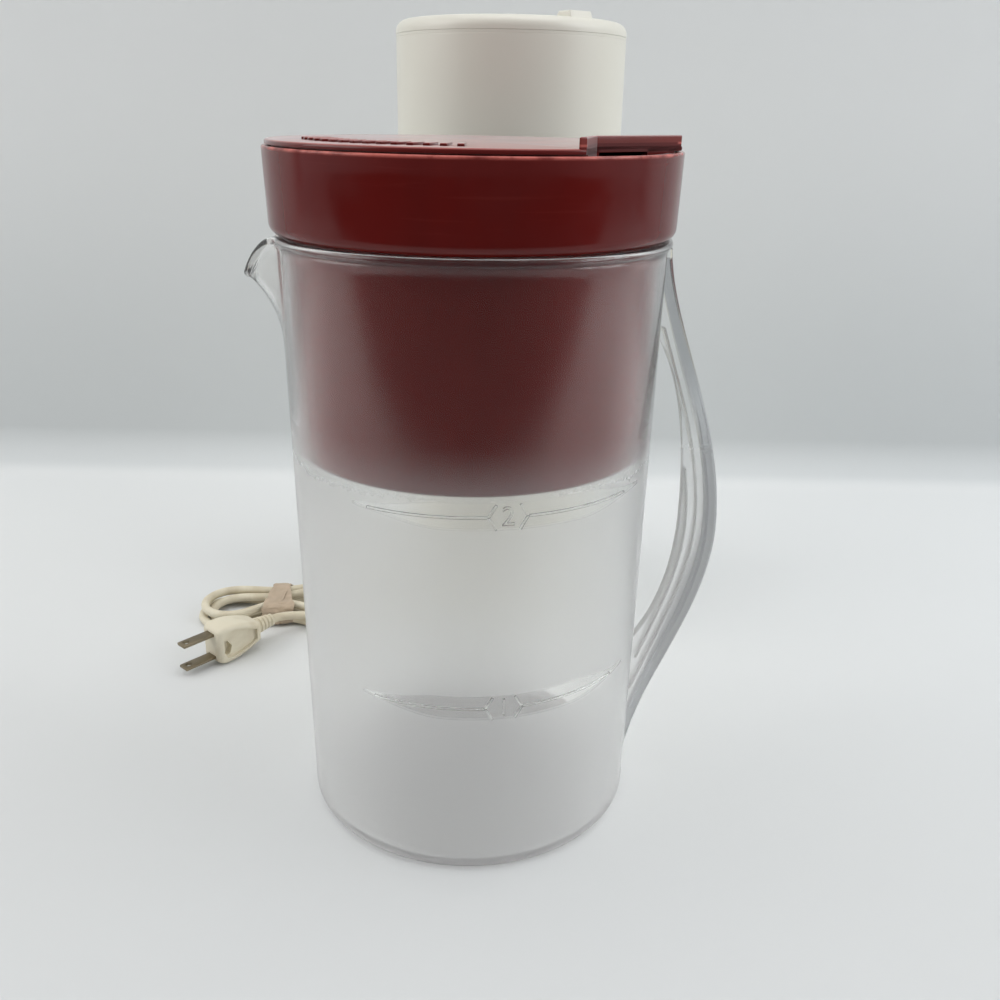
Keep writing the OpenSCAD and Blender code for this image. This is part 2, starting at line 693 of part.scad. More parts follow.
module heating_element() {
    color(steel_c) at_tower() translate([0, 0, heater_z]) {
        c_ring(-90 + element_turn, 360 - 2 * element_turn, element_ring) circle(element_r, $fn = 48);
        for (s = [-1, 1]) rotate(-90 + s * element_turn) translate([element_ring, 0, 0])
            rotate([s * 90, 0, 0]) cylinder(r = 1.2, h = 6, $fn = 24);
    }
}
module heater_screws() {
    color(steel_c) at_tower() for (a = [90, 210, 330]) rotate(a) translate([lug_ring, 0, casting_low + lug_h]) {
        cylinder(r = 3, h = 2, $fn = 32);
        translate([0, 0, -lug_h - 6]) cylinder(r = screw_r, h = lug_h + 6 + eps, $fn = 32);
    }
}

// Hoses, valve and clamps between the reservoir, the heater and the outlet

hose_in = tube_r + hose_clear;
lower_z0 = heater_z + 6;
valve_z = 48;
valve_h = 13;
valve_nipple = 8;
valve_r = 7.5;
ball_r = 2.8;
lower_z1 = valve_z - 0.3;
upper_z0 = valve_z + valve_h + 0.3;
upper_z1 = tank_z - 0.3;
elbow_r = feed_y - nipple_out - riser_y;
riser_start = riser_y + elbow_r;
riser_top = outlet_z - 0.3;
riser_grip = 8;

module hose_end(z0, z1) {
    translate([-feed_x, feed_y, 0]) ring(hose_r, hose_in, z0, z1);
}
module upper_feed_hose() { color(hose_c) at_tower() hose_end(upper_z0, upper_z1); }
module lower_feed_hose() { color(hose_c) at_tower() hose_end(lower_z0, lower_z1); }
module riser_shape(r) {
    translate([riser_x, riser_start, heater_z]) rotate([-90, 0, 0]) cylinder(r = r, h = riser_grip, $fn = 48);
    translate([riser_x, riser_start, heater_z + elbow_r]) rotate([0, 90, 0]) rotate(-90) quarter_bend(r);
    translate([riser_x, riser_y, heater_z + elbow_r]) cylinder(r = r, h = riser_top - heater_z - elbow_r, $fn = 48);
}
module quarter_bend(r) {
    rotate_extrude(angle = 90) translate([elbow_r, 0]) circle(r, $fn = 48);
}
module riser_hose() {
    color(hose_c) at_tower() difference() {
        riser_shape(hose_r);
        riser_shape(hose_in);
        translate([riser_x, riser_start + riser_grip - 1, heater_z]) rotate([-90, 0, 0]) cylinder(r = hose_in, h = 2, $fn = 48);
        translate([riser_x, riser_y, riser_top - 1]) cylinder(r = hose_in, h = 2, $fn = 48);
    }
}
module check_valve() {
    color(hose_c) at_tower() translate([-feed_x, feed_y, valve_z]) difference() {
        union() {
            cylinder(r = valve_r, h = valve_h, $fn = 48);
            translate([0, 0, -valve_nipple]) cylinder(r = tube_r, h = valve_h + 2 * valve_nipple, $fn = 48);
        }
        translate([0, 0, 2.2]) cylinder(r = ball_r + 1, h = 2 * ball_r + ball_travel + seat, $fn = 48);
        translate([0, 0, -valve_nipple - 1]) cylinder(r = ball_r - 1, h = valve_h + 2 * valve_nipple + 2, $fn = 48);
    }
}
// The ball rests on the lower seat ring of the valve
ball_z = valve_z + 2.2 + sqrt(ball_r * ball_r - (ball_r - 1) * (ball_r - 1)) + 0.05;
module check_ball() {
    color(steel_c) at_tower() translate([-feed_x, feed_y, ball_z]) sphere(ball_r, $fn = 48);
}
module clamp() { ring(hose_r + 1, hose_r + 0.05, 0, 4); }
module hose_clamps() {
    color(steel_c) at_tower() {
        for (z = [lower_z0 + 2, lower_z1 - 6, upper_z0 + 2, upper_z1 - 6])
            translate([-feed_x, feed_y, z]) clamp();
        translate([riser_x, riser_y, riser_top - 6]) clamp();
        translate([riser_x, riser_start + 2, heater_z]) rotate([-90, 0, 0]) clamp();
    }
}

// Heat sensors on the casting, under one spring clip

sensor_z = casting_low + casting_h;
sensor_turn = 140;
sensor_mid = (casting_in + casting_out) / 2;
module at_sensor(turn) { at_tower() rotate(turn) translate([sensor_mid, 0, sensor_z]) children(); }
module thermostat() {
    color(black_c) at_sensor(sensor_turn) {
        cylinder(r = 7, h = 4, $fn = 48);
        translate([0, 0, 4]) cylinder(r = 4.6, h = 3.4, $fn = 48);
        for (s = [-1, 1]) translate([0, s * 5.8, 6.5]) cube([0.8, 1.2, 7], center = true);
    }
}
module thermal_fuse() {
    color(brass_c) at_sensor(sensor_turn + 34) translate([0, 0, 1.95]) rotate([0, 90, 0])
        cylinder(r = 1.85, h = 11, center = true, $fn = 32);
}
module sensor_clip() {
    color(steel_c) at_tower() difference() {
        union() {
            translate([0, 0, sensor_z + 4.05]) c_ring(sensor_turn - 17, 62, sensor_mid - 7.5) square([15, 0.8]);
            translate([0, 0, sensor_z]) c_ring(sensor_turn + 17, 7, sensor_mid - 7) square([14, 4.5]);
        }
        rotate(sensor_turn) translate([sensor_mid, 0, sensor_z + 3]) cylinder(r = 4.8, h = 5, $fn = 48);
        rotate(sensor_turn) translate([sensor_mid, 0, sensor_z + 5]) cube([2, 13.6, 6], center = true);
    }
}

// Rocker switch in the side of the tower, drawn with +X pointing out of the shell

bezel_t = 1.6;
switch_depth = 12;
well_w = switch_w - 3;
well_h = switch_h - 3;
rocker_half = well_h / 2 - 0.8;
rocker_in = 2.5;
rocker_tilt = 7;
axle_r = 1;
axle_clear = 0.05;
module at_switch() { at_tower() translate([-tower_r, 0, switch_z]) rotate(180) children(); }
module switch_body() {
    color(black_c) at_switch() difference() {
        union() {
            translate([-switch_depth, -switch_w / 2, -switch_h / 2]) cube([switch_depth + 0.5, switch_w, switch_h]);
            translate([0.1, -switch_w / 2 - 1.5, -switch_h / 2 - 1.5]) cube([bezel_t, switch_w + 3, switch_h + 3]);
        }
        translate([-rocker_in - 5, -well_w / 2, -well_h / 2]) cube([20, well_w, well_h]);
        translate([-rocker_in, 0, 0]) rotate([90, 0, 0])
            cylinder(r = axle_r + axle_clear, h = switch_w - 1, center = true, $fn = 32);
    }
}
module switch_rocker() {
    color(red_c) at_switch() translate([-rocker_in, 0, 0]) rotate([0, rocker_tilt, 0]) {
        rotate([90, 0, 0]) linear_extrude(well_w - 0.8, center = true) polygon([
            [rocker_in + 1.6, rocker_half], [rocker_in - 0.3, 0], [rocker_in + 1.6, -rocker_half],
            [-1.5, 0.8 - rocker_half], [-3, 0], [-1.5, rocker_half - 0.8]]);
        rotate([90, 0, 0]) cylinder(r = axle_r, h = switch_w - 1.6, center = true, $fn = 32);
    }
}

// Insulated wires inside the base

wire_r = 1.2;
under = 8.6;
core_a = [[49.4, -8.9, relief_z], [45.5, -8.5, 10.5], [41, -7, 9], [36.5, 0, under], [35, 9, under],
    [31, 19, under], [23, 28, under], [13, 34, under], [0, 36.5, under], [-13, 34, under], [-23, 28, under],
    [-31, 19, under], [-37, 9, 9], [-42, 3, 10.5], [-45.5, 0.5, 14], [-46.7, 0.1, 19],
    [-47, 0, switch_z - switch_h / 2 - 0.4]];
core_b = [[48.8, -12, relief_z], [44.6, -12.3, 10.5], [40, -12.8, 9], [35, -16.5, under], [30, -22, under],
    [26.5, -28, 9.5], [24.5, -32.5, 12.5], [22, -34.5, 16], [19.4, -33.2, heater_z], [19.1, -30.6, heater_z],
    [20.8, -28.8, heater_z]];
live = [[-42.2, 2.6, switch_z], [-39, 4, switch_z + 3], [-32, 8.5, switch_z + 5], [-28, 12.5, switch_z + 4.5],
    [-26.5, 14.2, switch_z + 2], [-26.3, 14.5, sensor_z + 10.5]];
bridge = [[-18.9, 23.4, sensor_z + 10.5], [-18.6, 23, sensor_z + 13], [-16, 19.5, sensor_z + 14.5],
    [-12.5, 13, sensor_z + 12], [-13.5, 7, sensor_z + 7], [-17, 3.6, sensor_z + 3], [-20.5, 2.4, sensor_z + 1.95],
    [-23.6, 2.5, sensor_z + 1.95]];
tail_wire = [[-35.2, 3.7, sensor_z + 1.95], [-38, 3.6, sensor_z + 1.95], [-39.8, 0, sensor_z + 1.95],
    [-39.4, -7, sensor_z + 1.95], [-37.6, -14, sensor_z + 1.95], [-35, -21, sensor_z + 1.7],
    [-31.5, -26, sensor_z + 1.6], [-28.2, -29, sensor_z + 1.6], [-25.3, -31.9, sensor_z + 0.6],
    [-23.2, -33.9, 21.5], [-21.2, -34.3, 18.8], [-19.3, -33, heater_z], [-19.1, -30.8, heater_z],
    [-20.8, -28.8, heater_z]];
module wire(path) { skin(tube_rings(path, wire_r, 6)); }
module lead_wires() {
    color(black_c) at_tower() for (path = [core_a, core_b, live, bridge, tail_wire]) wire(path);
}

// Base plate, screws and feet

module base_plate() {
    color(cream_c) at_tower() difference() {
        union() {
            translate([0, 0, base_z]) cylinder(r = base_r, h = base_t);
            for (a = [90, 210, 330]) rotate(a) translate([lug_ring, 0, base_z])
                cylinder(r = post_r, h = casting_low - base_z);
        }
        for (a = [90, 210, 330]) rotate(a) translate([lug_ring, 0, base_z + base_t])
            cylinder(r = screw_r + screw_clear, h = 20, $fn = 32);
        for (a = [45:90:315]) rotate(a) translate([boss_ring, 0, base_z - 1]) {
            cylinder(r = screw_r + 0.3, h = 10, $fn = 32);
            cylinder(r = 3.3, h = 2.4, $fn = 32);
        }
        for (a = [0:90:270]) rotate(a) translate([foot_circle, 0, base_z - 1]) cylinder(r = 2.6, h = 10, $fn = 32);
    }
}
module base_screws() {
    color(steel_c) at_tower() for (a = [45:90:315]) rotate(a) translate([boss_ring, 0, base_z]) {
        cylinder(r = 3, h = 1.4, $fn = 32);
        cylinder(r = screw_r, h = base_t + 12, $fn = 32);
    }
}
module rubber_feet() {
    color(black_c) at_tower() for (a = [0:90:270]) rotate(a) translate([foot_circle, 0, 0]) {
        cylinder(r = foot_r, h = foot_h);
        cylinder(r = 2.5, h = foot_h + base_t + 0.6, $fn = 32);
        translate([0, 0, foot_h + base_t]) cylinder(r = 3.4, h = 1.2, $fn = 32);
    }
}

// Mains cord

module strain_relief() {
    color(ivory_c) at_tower() rotate(relief_turn) translate([shell_in, 0, relief_z]) rotate([0, 90, 0]) {
        translate([0, 0, -2.4]) cylinder(r = relief_r, h = 2, $fn = 48);
        translate([0, 0, -1]) cylinder(r = relief_r - 1, h = tower_wall + 2, $fn = 48);
        translate([0, 0, tower_wall + 0.3]) cylinder(r = relief_r, h = 3, $fn = 48);
        translate([0, 0, tower_wall + 3]) cylinder(r1 = relief_r - 0.6, r2 = cord_d / 2 + 0.7,
            h = relief_l - 3, $fn = 48);
    }
}

// Hank: loops drawn in at the waist, wound in on one layer and out on the next
hank_x = -118;
hank_y = 56.5;
hank_turn = 8;
hank_half = 26;
hank_fold = 2.5 * cord_d;
hank_pitch = cord_d + 1.3;
hank_in = 1.25;
hank_climb = 0.5;
hank_loops = 2 * hank_in + hank_climb;
hank_low = cord_d / 2 + 0.1;
hank_rings = 24;
waist_in = 0.62 * hank_pitch;
waist_step = 1.16;
tie_lift = 1.5;
function clamp01(t) = max(0, min(1, t));
function smooth(t) = let (c = clamp01(t)) c * c * (3 - 2 * c);
function hank_rho(u) = hank_fold + hank_pitch * max(hank_in - u, u - hank_in - hank_climb, 0);
function hank_z(u) = hank_low + hank_pitch * smooth((u - hank_in) / hank_climb);
// One turn: near run to the left, left fold, far run to the right, right fold
function run_y(x, rho) = let (w = waist_in + (rho - hank_fold) * waist_step, b = pow(cos(90 * x / hank_half), 2))
    rho - (rho - w) * b;
function hank_plan(u) = let (f = u - floor(u), rho = hank_rho(u), long = 2 * hank_half,
        fold = 3.14159 * rho, total = 2 * long + 2 * fold, s = f * total)
    s < long ? [hank_half - s, -run_y(hank_half - s, rho)]
    : s < long + fold ? let (a = -90 - 180 * (s - long) / fold)
        [-hank_half + rho * cos(a), rho * sin(a)]
    : s < 2 * long + fold ? let (x = -hank_half + s - long - fold) [x, run_y(x, rho)]
    : let (a = 90 - 180 * (s - 2 * long - fold) / fold) [hank_half + rho * cos(a), rho * sin(a)];
function to_row(p, z) = [hank_x + p[0] * cos(hank_turn) - p[1] * sin(hank_turn),
    hank_y + p[0] * sin(hank_turn) + p[1] * cos(hank_turn), z];
function waist_lift(x) = tie_lift * pow(cos(90 * min(1, abs(x) / hank_half)), 2);
function hank_pt(u) = let (p = hank_plan(u)) to_row(p, hank_z(u) + waist_lift(p[0]));
hank_n = round(hank_loops * hank_rings);
hank_end_z = hank_z(hank_loops);
hank_path = concat(
    [to_row([hank_half + cord_d, -hank_rho(0)], hank_low)],
    [for (i = [0:hank_n - 1]) hank_pt(hank_loops * i / hank_n)],
    [to_row([hank_half, -hank_rho(hank_loops)], hank_end_z),
        to_row([hank_half - cord_d, -hank_rho(hank_loops)], hank_end_z)]);
hank_skip = 6;
hank_gap = min([for (i = [0:len(hank_path) - 1], j = [0:len(hank_path) - 1])
    if (j - i > hank_skip) norm(hank_path[i] - hank_path[j])]) - cord_d;
echo(least_gap_of_hank_to_itself = hank_gap);

module cord_hank() { color(ivory_c) skin(tube_rings(hank_path, cord_d / 2, 6)); }

// Free stretches of the cord, as points chosen by hand between its fixed ends
relief_dir = [cos(relief_turn + tower_turn), sin(relief_turn + tower_turn), 0];
relief_tip = [tower_x, tower_y, relief_z] + (tower_r + relief_l + 0.02) * relief_dir;
hank_dir = [cos(hank_turn), sin(hank_turn), 0];
last = len(hank_path) - 1;
supply_route = [relief_tip, [-65, 52.2, 11], [-68.8, 49.9, 9.5], [-72.7, 47.3, 7], [-76.7, 45, 4.4],
    [-80.7, 43.2, 2.9], hank_path[0] + 0.02 * hank_dir];
// The plug lies on its edge with its blades one above the other
plug_face = [-142, 2, 10.5];
plug_az = 229;
plug_l = 26;
plug_neck = 12;
plug_dir = [cos(plug_az), sin(plug_az), 0];
neck_end = plug_face - (plug_l + plug_neck + 0.02) * plug_dir;
lead_route = [hank_path[last] - 0.02 * hank_dir, [-99.1, 39.9, 8.4], [-104.2, 38.5, 8.9], [-109.1, 36.5, 9.6],
    [-113.5, 33.9, 10.2], neck_end];
module supply_cord() {
    color(ivory_c) skin(tube_rings(supply_route, cord_d / 2, 8, relief_dir, -hank_dir));
}
module plug_lead() {
    color(ivory_c) skin(tube_rings(lead_route, cord_d / 2, 8, -hank_dir, plug_dir));
}

tie_w = 14;
tie_t = 1;
module tie_shape(grow) {
    half = run_y(tie_w / 2, hank_fold + hank_pitch * hank_in) + cord_d / 2 + 0.4 + grow;
    top = hank_low + tie_lift - tie_t + hank_pitch + cord_d / 2 + 0.4 + grow;
    low = 0.15 - grow;
    r = 3 + grow;
    union() {
        translate([-half + r, low]) square([2 * (half - r), top - low]);
        translate([-half, low + r]) square([2 * half, top - low - 2 * r]);
        for (s = [-1, 1]) for (z = [low + r, top - r]) translate([s * (half - r), z]) circle(r, $fn = 32);
    }
}
module cord_tie() {
    color(ivory_c) translate([hank_x, hank_y, tie_t]) rotate(hank_turn) rotate([90, 0, 90])
        linear_extrude(tie_w, center = true) difference() {
            tie_shape(tie_t);
            tie_shape(0);
        }
}

// Plug
plug_w = 20.8;
plug_t = 15;
module at_plug() { translate(plug_face) rotate(plug_az) children(); }
module plug_body() {
    color(ivory_c) at_plug() difference() {
        union() {
            rotate([90, 0, 0]) linear_extrude(plug_t, center = true) polygon([
                [0, -plug_w / 2], [0, plug_w / 2], [-6, plug_w / 2], [-18, plug_w / 2 - 2.5],
                [-plug_l, 4.5], [-plug_l, -4.5], [-18, -plug_w / 2 + 2.5], [-6, -plug_w / 2]]);
            translate([-plug_l - plug_neck, 0, 0]) rotate([0, 90, 0]) cylinder(r = cord_d / 2 + 1, h = plug_neck + 1, $fn = 32);
            for (i = [0:3]) translate([-plug_l - 2.6 * (i + 1), 0, 0]) rotate([0, 90, 0])
                cylinder(r = 4.4 - 0.25 * i, h = 1.6, $fn = 32);
        }
        for (s = [-1, 1]) translate([0.5, 0, s * blade_gap / 2])
            cube([17, blade_w + 0.1, blade_t + 0.1], center = true);
    }
}
module plug_blades() {
    color(brass_c) at_plug() for (s = [-1, 1]) translate([0, 0, s * blade_gap / 2]) difference() {
        translate([-7.5, -blade_w / 2, -blade_t / 2]) cube([blade_l + 7.5, blade_w, blade_t]);
        translate([blade_l - 3.2, 0, 0]) cylinder(r = 1.6, h = 6, center = true, $fn = 24);
    }
}

pitcher();
brew_basket();
pitcher_lid();
tower_shell();
reservoir();
reservoir_lid();
lid_hinge_pin();
outlet_spout();
riser_hose();
upper_feed_hose();
lower_feed_hose();
check_valve();
check_ball();
hose_clamps();
heater_casting();
heater_tube();
heating_element();
heater_screws();
thermostat();
thermal_fuse();
sensor_clip();
switch_body();
switch_rocker();
lead_wires();
base_plate();
base_screws();
rubber_feet();
strain_relief();
supply_cord();
cord_hank();
cord_tie();
plug_lead();
plug_body();
plug_blades();
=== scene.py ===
"""Iced tea maker: the looks of its pieces, laid out as a Blender add-on and run as a script."""
import json
import math

import bmesh
import bpy
from bpy.props import FloatProperty, FloatVectorProperty, IntProperty, PointerProperty
from mathutils import Matrix, Vector, noise


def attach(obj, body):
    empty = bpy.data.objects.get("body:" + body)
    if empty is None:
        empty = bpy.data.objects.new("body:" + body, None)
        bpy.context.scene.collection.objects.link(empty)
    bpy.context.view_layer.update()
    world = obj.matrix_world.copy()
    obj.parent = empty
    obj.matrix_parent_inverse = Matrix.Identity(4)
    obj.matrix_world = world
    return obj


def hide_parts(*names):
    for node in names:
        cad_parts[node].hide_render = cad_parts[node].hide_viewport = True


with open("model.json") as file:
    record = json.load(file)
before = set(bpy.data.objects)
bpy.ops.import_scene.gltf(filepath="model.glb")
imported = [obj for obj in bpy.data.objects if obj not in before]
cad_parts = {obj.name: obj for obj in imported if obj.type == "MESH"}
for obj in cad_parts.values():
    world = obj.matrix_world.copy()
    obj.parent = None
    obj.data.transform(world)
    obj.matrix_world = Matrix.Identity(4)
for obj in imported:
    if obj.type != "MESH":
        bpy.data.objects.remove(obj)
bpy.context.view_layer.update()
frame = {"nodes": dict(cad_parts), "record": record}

bl_info = {
    "name": "Iced Tea Maker",
    "version": (1, 0, 0),
    "blender": (4, 5, 0),
    "location": "View3D > Sidebar > Tea Maker",
    "description": "Builds the looks of an iced tea maker around its solids",
    "category": "Object",
}

MM = Matrix.Scale(0.001, 4)
AT_PITCHER = Matrix.Translation((-0.00695, -0.07991, 0)) @ MM
TO_PITCHER_AXIS = (0.00695, 0.07991, 0)
TOWER_TURN = math.radians(217)
AT_TOWER = Matrix.Translation((0.00555, 0.08539, 0)) @ Matrix.Rotation(TOWER_TURN, 4, "Z") @ MM
STEPS = 192

# Turns that stand an outline up, lay a rod along X, and lay an outline of (y, z) in its plane
STAND = Matrix.Rotation(math.pi / 2, 4, "X")
ALONG_X = Matrix.Rotation(math.pi / 2, 4, "Y")
ON_SIDE = Matrix(((0, 0, 1, 0), (1, 0, 0, 0), (0, 1, 0, 0), (0, 0, 0, 1)))


# Settings that a user would change

def size(label, text, value, low=0.0, high=1.0):
    return FloatProperty(name=label, description=text, default=value, min=low, max=high,
                         unit="LENGTH", precision=5)


def share(label, text, value):
    return FloatProperty(name=label, description=text, default=value, min=0, max=1, subtype="FACTOR")


def paint(label, text, value):
    return FloatVectorProperty(name=label, description=text, default=value, size=3, min=0, max=1,
                               subtype="COLOR")


class PitcherSettings(bpy.types.PropertyGroup):
    radius: size("Radius", "Outer radius of the wall at the table", 0.0656)
    flare: size("Flare", "Growth of the radius up to the rim", 0.0032)
    height: size("Height", "Height of the rim", 0.2271)
    wall: size("Wall", "Thickness of the wall", 0.0024)
    reach: size("Handle reach", "From the axis to the outside of the handle", 0.0953)
    spout: size("Spout reach", "From the axis to the tip of the spout", 0.0814)
    haze: share("Haze", "Roughness of the scuffed wall", 0.2)
    cloud: share("Clearness", "Share of the light that passes through the wall", 0.996)
    tint: paint("Tint", "Colour of the plastic", (0.975, 0.977, 0.968))
    # The edge tint is painted shade: it darkens the clear flange along the handle, which looks dark edge-on.
    edge: paint("Edge shade tint", "Darker colour along the handle, painted shade of the clear flange seen edge-on", (0.66, 0.67, 0.69))


class BasketSettings(bpy.types.PropertyGroup):
    radius: size("Band radius", "Outer radius of the band at its rim", 0.072)
    height: size("Band height", "Height of the band", 0.0286)
    depth: size("Depth", "Depth of the basket below the band", 0.0769)
    red: paint("Red", "Colour of the band and the basket", (0.125, 0.0085, 0.0068))
    wear_and_reflection: paint("Worn red and reflection", "Colour of the rubbed edges, and of the dust and painted reflection on the lid's top", (0.55, 0.13, 0.105))
    ribs: IntProperty(name="Ribs", description="Number of ribs on the lid", default=15, min=0, max=24)


class TowerSettings(bpy.types.PropertyGroup):
    radius: size("Radius", "Outer radius of the shell", 0.0553)
    height: size("Height", "Height of the shell", 0.2991)
    cap: size("Lid height", "Height of the closed lid", 0.006)
    fillet: size("Lid rounding", "Rounding of the lid's edge", 0.005)
    cream: paint("Cream", "Colour of the shell", (0.75, 0.73, 0.65))
    aged: paint("Aged cream", "Colour where the plastic has yellowed", (0.705, 0.68, 0.59))


class LeadSettings(bpy.types.PropertyGroup):
    thick: size("Diameter", "Diameter of the mains lead", 0.0046)
    ivory: paint("Ivory", "Colour of the lead and plug", (0.74, 0.68, 0.53))
    soiled: paint("Soiled ivory", "Colour of the handled patches", (0.56, 0.48, 0.34))
    paper: paint("Paper", "Colour of the band round the hank", (0.44, 0.345, 0.25))


class StageSettings(bpy.types.PropertyGroup):
    floor: paint("Floor", "Colour of the floor", (0.76, 0.77, 0.765))
    wall: paint("Backdrop", "Colour of the painted shade on the backdrop just above the floor", (0.63, 0.65, 0.65))
    seam: size("Seam", "How far back the floor begins to rise", 0.275, 0.1, 3)
    bend: size("Bend", "Radius with which the floor rises to the backdrop", 0.03, 0.02, 3)
    key: FloatProperty(name="Key", description="Power of the left lamp", default=9.5, min=0, max=100)
    fill: FloatProperty(name="Fill", description="Power of the right lamp", default=10.5, min=0, max=100)
    top: FloatProperty(name="Top", description="Power of the overhead lamp", default=11.5, min=0, max=100)
    air: share("Air", "Brightness of the surroundings", 0.62)


class TeaMakerSettings(bpy.types.PropertyGroup):
    pitcher: PointerProperty(type=PitcherSettings)
    basket: PointerProperty(type=BasketSettings)
    tower: PointerProperty(type=TowerSettings)
    lead: PointerProperty(type=LeadSettings)
    stage: PointerProperty(type=StageSettings)


# Outlines and solids

def arc(x, z, r, a0, a1, n):
    """Points of an arc round (x, z), from one angle to the other, in degrees."""
    angles = [math.radians(a0 + (a1 - a0) * i / n) for i in range(n + 1)]
    return [(x + r * math.cos(a), z + r * math.sin(a)) for a in angles]


def bezier(p, n):
    """Points of a curve between the first and last of four control points."""
    points = []
    for i in range(n + 1):
        t = i / n
        w = ((1 - t) ** 3, 3 * t * (1 - t) ** 2, 3 * t * t * (1 - t), t ** 3)
        points.append(tuple(sum(k * q[c] for k, q in zip(w, p)) for c in (0, 1)))
    return points


def between(points, z):
    """Reads x at a height from a line of points sorted by height."""
    for (x0, z0), (x1, z1) in zip(points, points[1:]):
        if z0 <= z <= z1:
            return x0 + (x1 - x0) * (z - z0) / max(z1 - z0, 1e-9)
    return points[0][0] if z < points[0][1] else points[-1][0]


def ring_of(points):
    """The pairs of neighbours round a closed loop."""
    return zip(points, points[1:] + points[:1])


def turned(outline, steps=STEPS):
    """Spins a closed outline of (radius, height) round the upright axis."""
    bm = bmesh.new()
    verts = [bm.verts.new((r, 0, z)) for r, z in outline]
    edges = [bm.edges.new(pair) for pair in ring_of(verts)]
    bmesh.ops.spin(bm, geom=verts + edges, cent=(0, 0, 0), axis=(0, 0, 1), dvec=(0, 0, 0),
                   angle=2 * math.pi, steps=steps, use_merge=True, use_duplicate=False)
    bmesh.ops.remove_doubles(bm, verts=bm.verts, dist=1e-6)
    bmesh.ops.recalc_face_normals(bm, faces=bm.faces)
    return bm


def prism(outline, z0, z1, rim=0.0, segments=2):
    """Raises a flat outline of (x, y) points into a solid, with its two rims rounded."""
    bm = bmesh.new()
    face = bm.faces.new([bm.verts.new((x, y, z0)) for x, y in outline])
    grown = bmesh.ops.extrude_face_region(bm, geom=[face])
    top = [g for g in grown["geom"] if isinstance(g, bmesh.types.BMVert)]
    bmesh.ops.translate(bm, vec=(0, 0, z1 - z0), verts=top)
    bmesh.ops.recalc_face_normals(bm, faces=bm.faces)
    if rim:
        rounded(bm, [e for e in bm.edges if abs(e.verts[0].co.z - e.verts[1].co.z) < 1e-7], rim, segments)
    return bm


def block(lo, hi, rim=0.0, segments=2):
    """A box between its lowest and highest corners, with its edges rounded."""
    bm = bmesh.new()
    bmesh.ops.create_cube(bm, size=1)
    span = [h - l for l, h in zip(lo, hi)]
    bmesh.ops.scale(bm, vec=span, verts=bm.verts)
    bmesh.ops.translate(bm, vec=[(l + h) / 2 for l, h in zip(lo, hi)], verts=bm.verts)
    return rounded(bm, bm.edges[:], rim, segments) if rim else bm


def rod(radius, length, place, segments=32):
    """A closed cylinder round the upright axis, moved to its place."""
    bm = bmesh.new()
    bmesh.ops.create_cone(bm, cap_ends=True, segments=segments, radius1=radius, radius2=radius,
                          depth=length, matrix=place)
    return bm


def at(x, y, z):
    return Matrix.Translation((x, y, z))


def about_z(degrees, size=4):
    return Matrix.Rotation(math.radians(degrees), size, "Z")


def rounded(bm, edges, width, segments=3):
    """Rounds the given edges of a solid."""
    bmesh.ops.bevel(bm, geom=edges, offset=width, segments=segments, profile=0.5,
                    affect="EDGES", material=-1)
    return bm


def swept(sections):
    """Extrudes one loop of points from section to section and closes both ends."""
    bm = bmesh.new()
    first = bm.faces.new([bm.verts.new(p) for p in sections[0]])
    loop = list(first.verts)
    for points in sections[1:]:
        ring = [bm.verts.new(p) for p in points]
        for i in range(len(ring)):
            j = (i + 1) % len(ring)
            bm.faces.new((loop[i], loop[j], ring[j], ring[i]))
        loop = ring
    bm.faces.new(list(reversed(loop)))
    bmesh.ops.recalc_face_normals(bm, faces=bm.faces)
    return bm


def join(bm, *others):
    """Adds the others to the first, and frees them."""
    for other in others:
        mesh = bpy.data.meshes.new("part")
        other.to_mesh(mesh)
        other.free()
        bm.from_mesh(mesh)
        bpy.data.meshes.remove(mesh)
    return bm


def moved(bm, matrix):
    bmesh.ops.transform(bm, matrix=matrix, verts=bm.verts)
    return bm


def loose(bm, name="cutter"):
    """Makes a passing object of a solid, for the carving alone."""
    mesh = bpy.data.meshes.new(name)
    bm.to_mesh(mesh)
    bm.free()
    obj = bpy.data.objects.new(name, mesh)
    bpy.context.scene.collection.objects.link(obj)
    return obj


def carve(bm, *cuts):
    """Takes cutters from a solid, or keeps what they share with it, one after the other."""
    obj = loose(bm, "blank")
    tools = []
    for operation, cutter in cuts:
        tool = loose(cutter)
        tools.append(tool)
        step = obj.modifiers.new("cut", "BOOLEAN")
        step.operation = operation
        step.solver = "EXACT"
        step.object = tool
    graph = bpy.context.evaluated_depsgraph_get()
    graph.update()
    result = bmesh.new()
    mesh = bpy.data.meshes.new_from_object(obj.evaluated_get(graph))
    result.from_mesh(mesh)
    bpy.data.meshes.remove(mesh)
    for item in [obj] + tools:
        old = item.data
        bpy.data.objects.remove(item)
        bpy.data.meshes.remove(old)
    bmesh.ops.remove_doubles(result, verts=result.verts, dist=2e-6)
    return result


def piece(name, bm, finish, body, slot, *nodes, place=None, sharp=32):
    """Makes a finished object at the origin that stands for the named nodes."""
    if place is not None:
        bmesh.ops.transform(bm, matrix=place, verts=bm.verts)
    mesh = bpy.data.meshes.new(name)
    bm.normal_update()
    bm.to_mesh(mesh)
    bm.free()
    for polygon in mesh.polygons:
        polygon.use_smooth = True
    mesh.set_sharp_from_angle(angle=math.radians(sharp))
    mesh.materials.append(finish)
    obj = bpy.data.objects.new(name, mesh)
    bpy.context.scene.collection.objects.link(obj)
    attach(obj, body)
    if nodes:
        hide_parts(*nodes)
    return obj


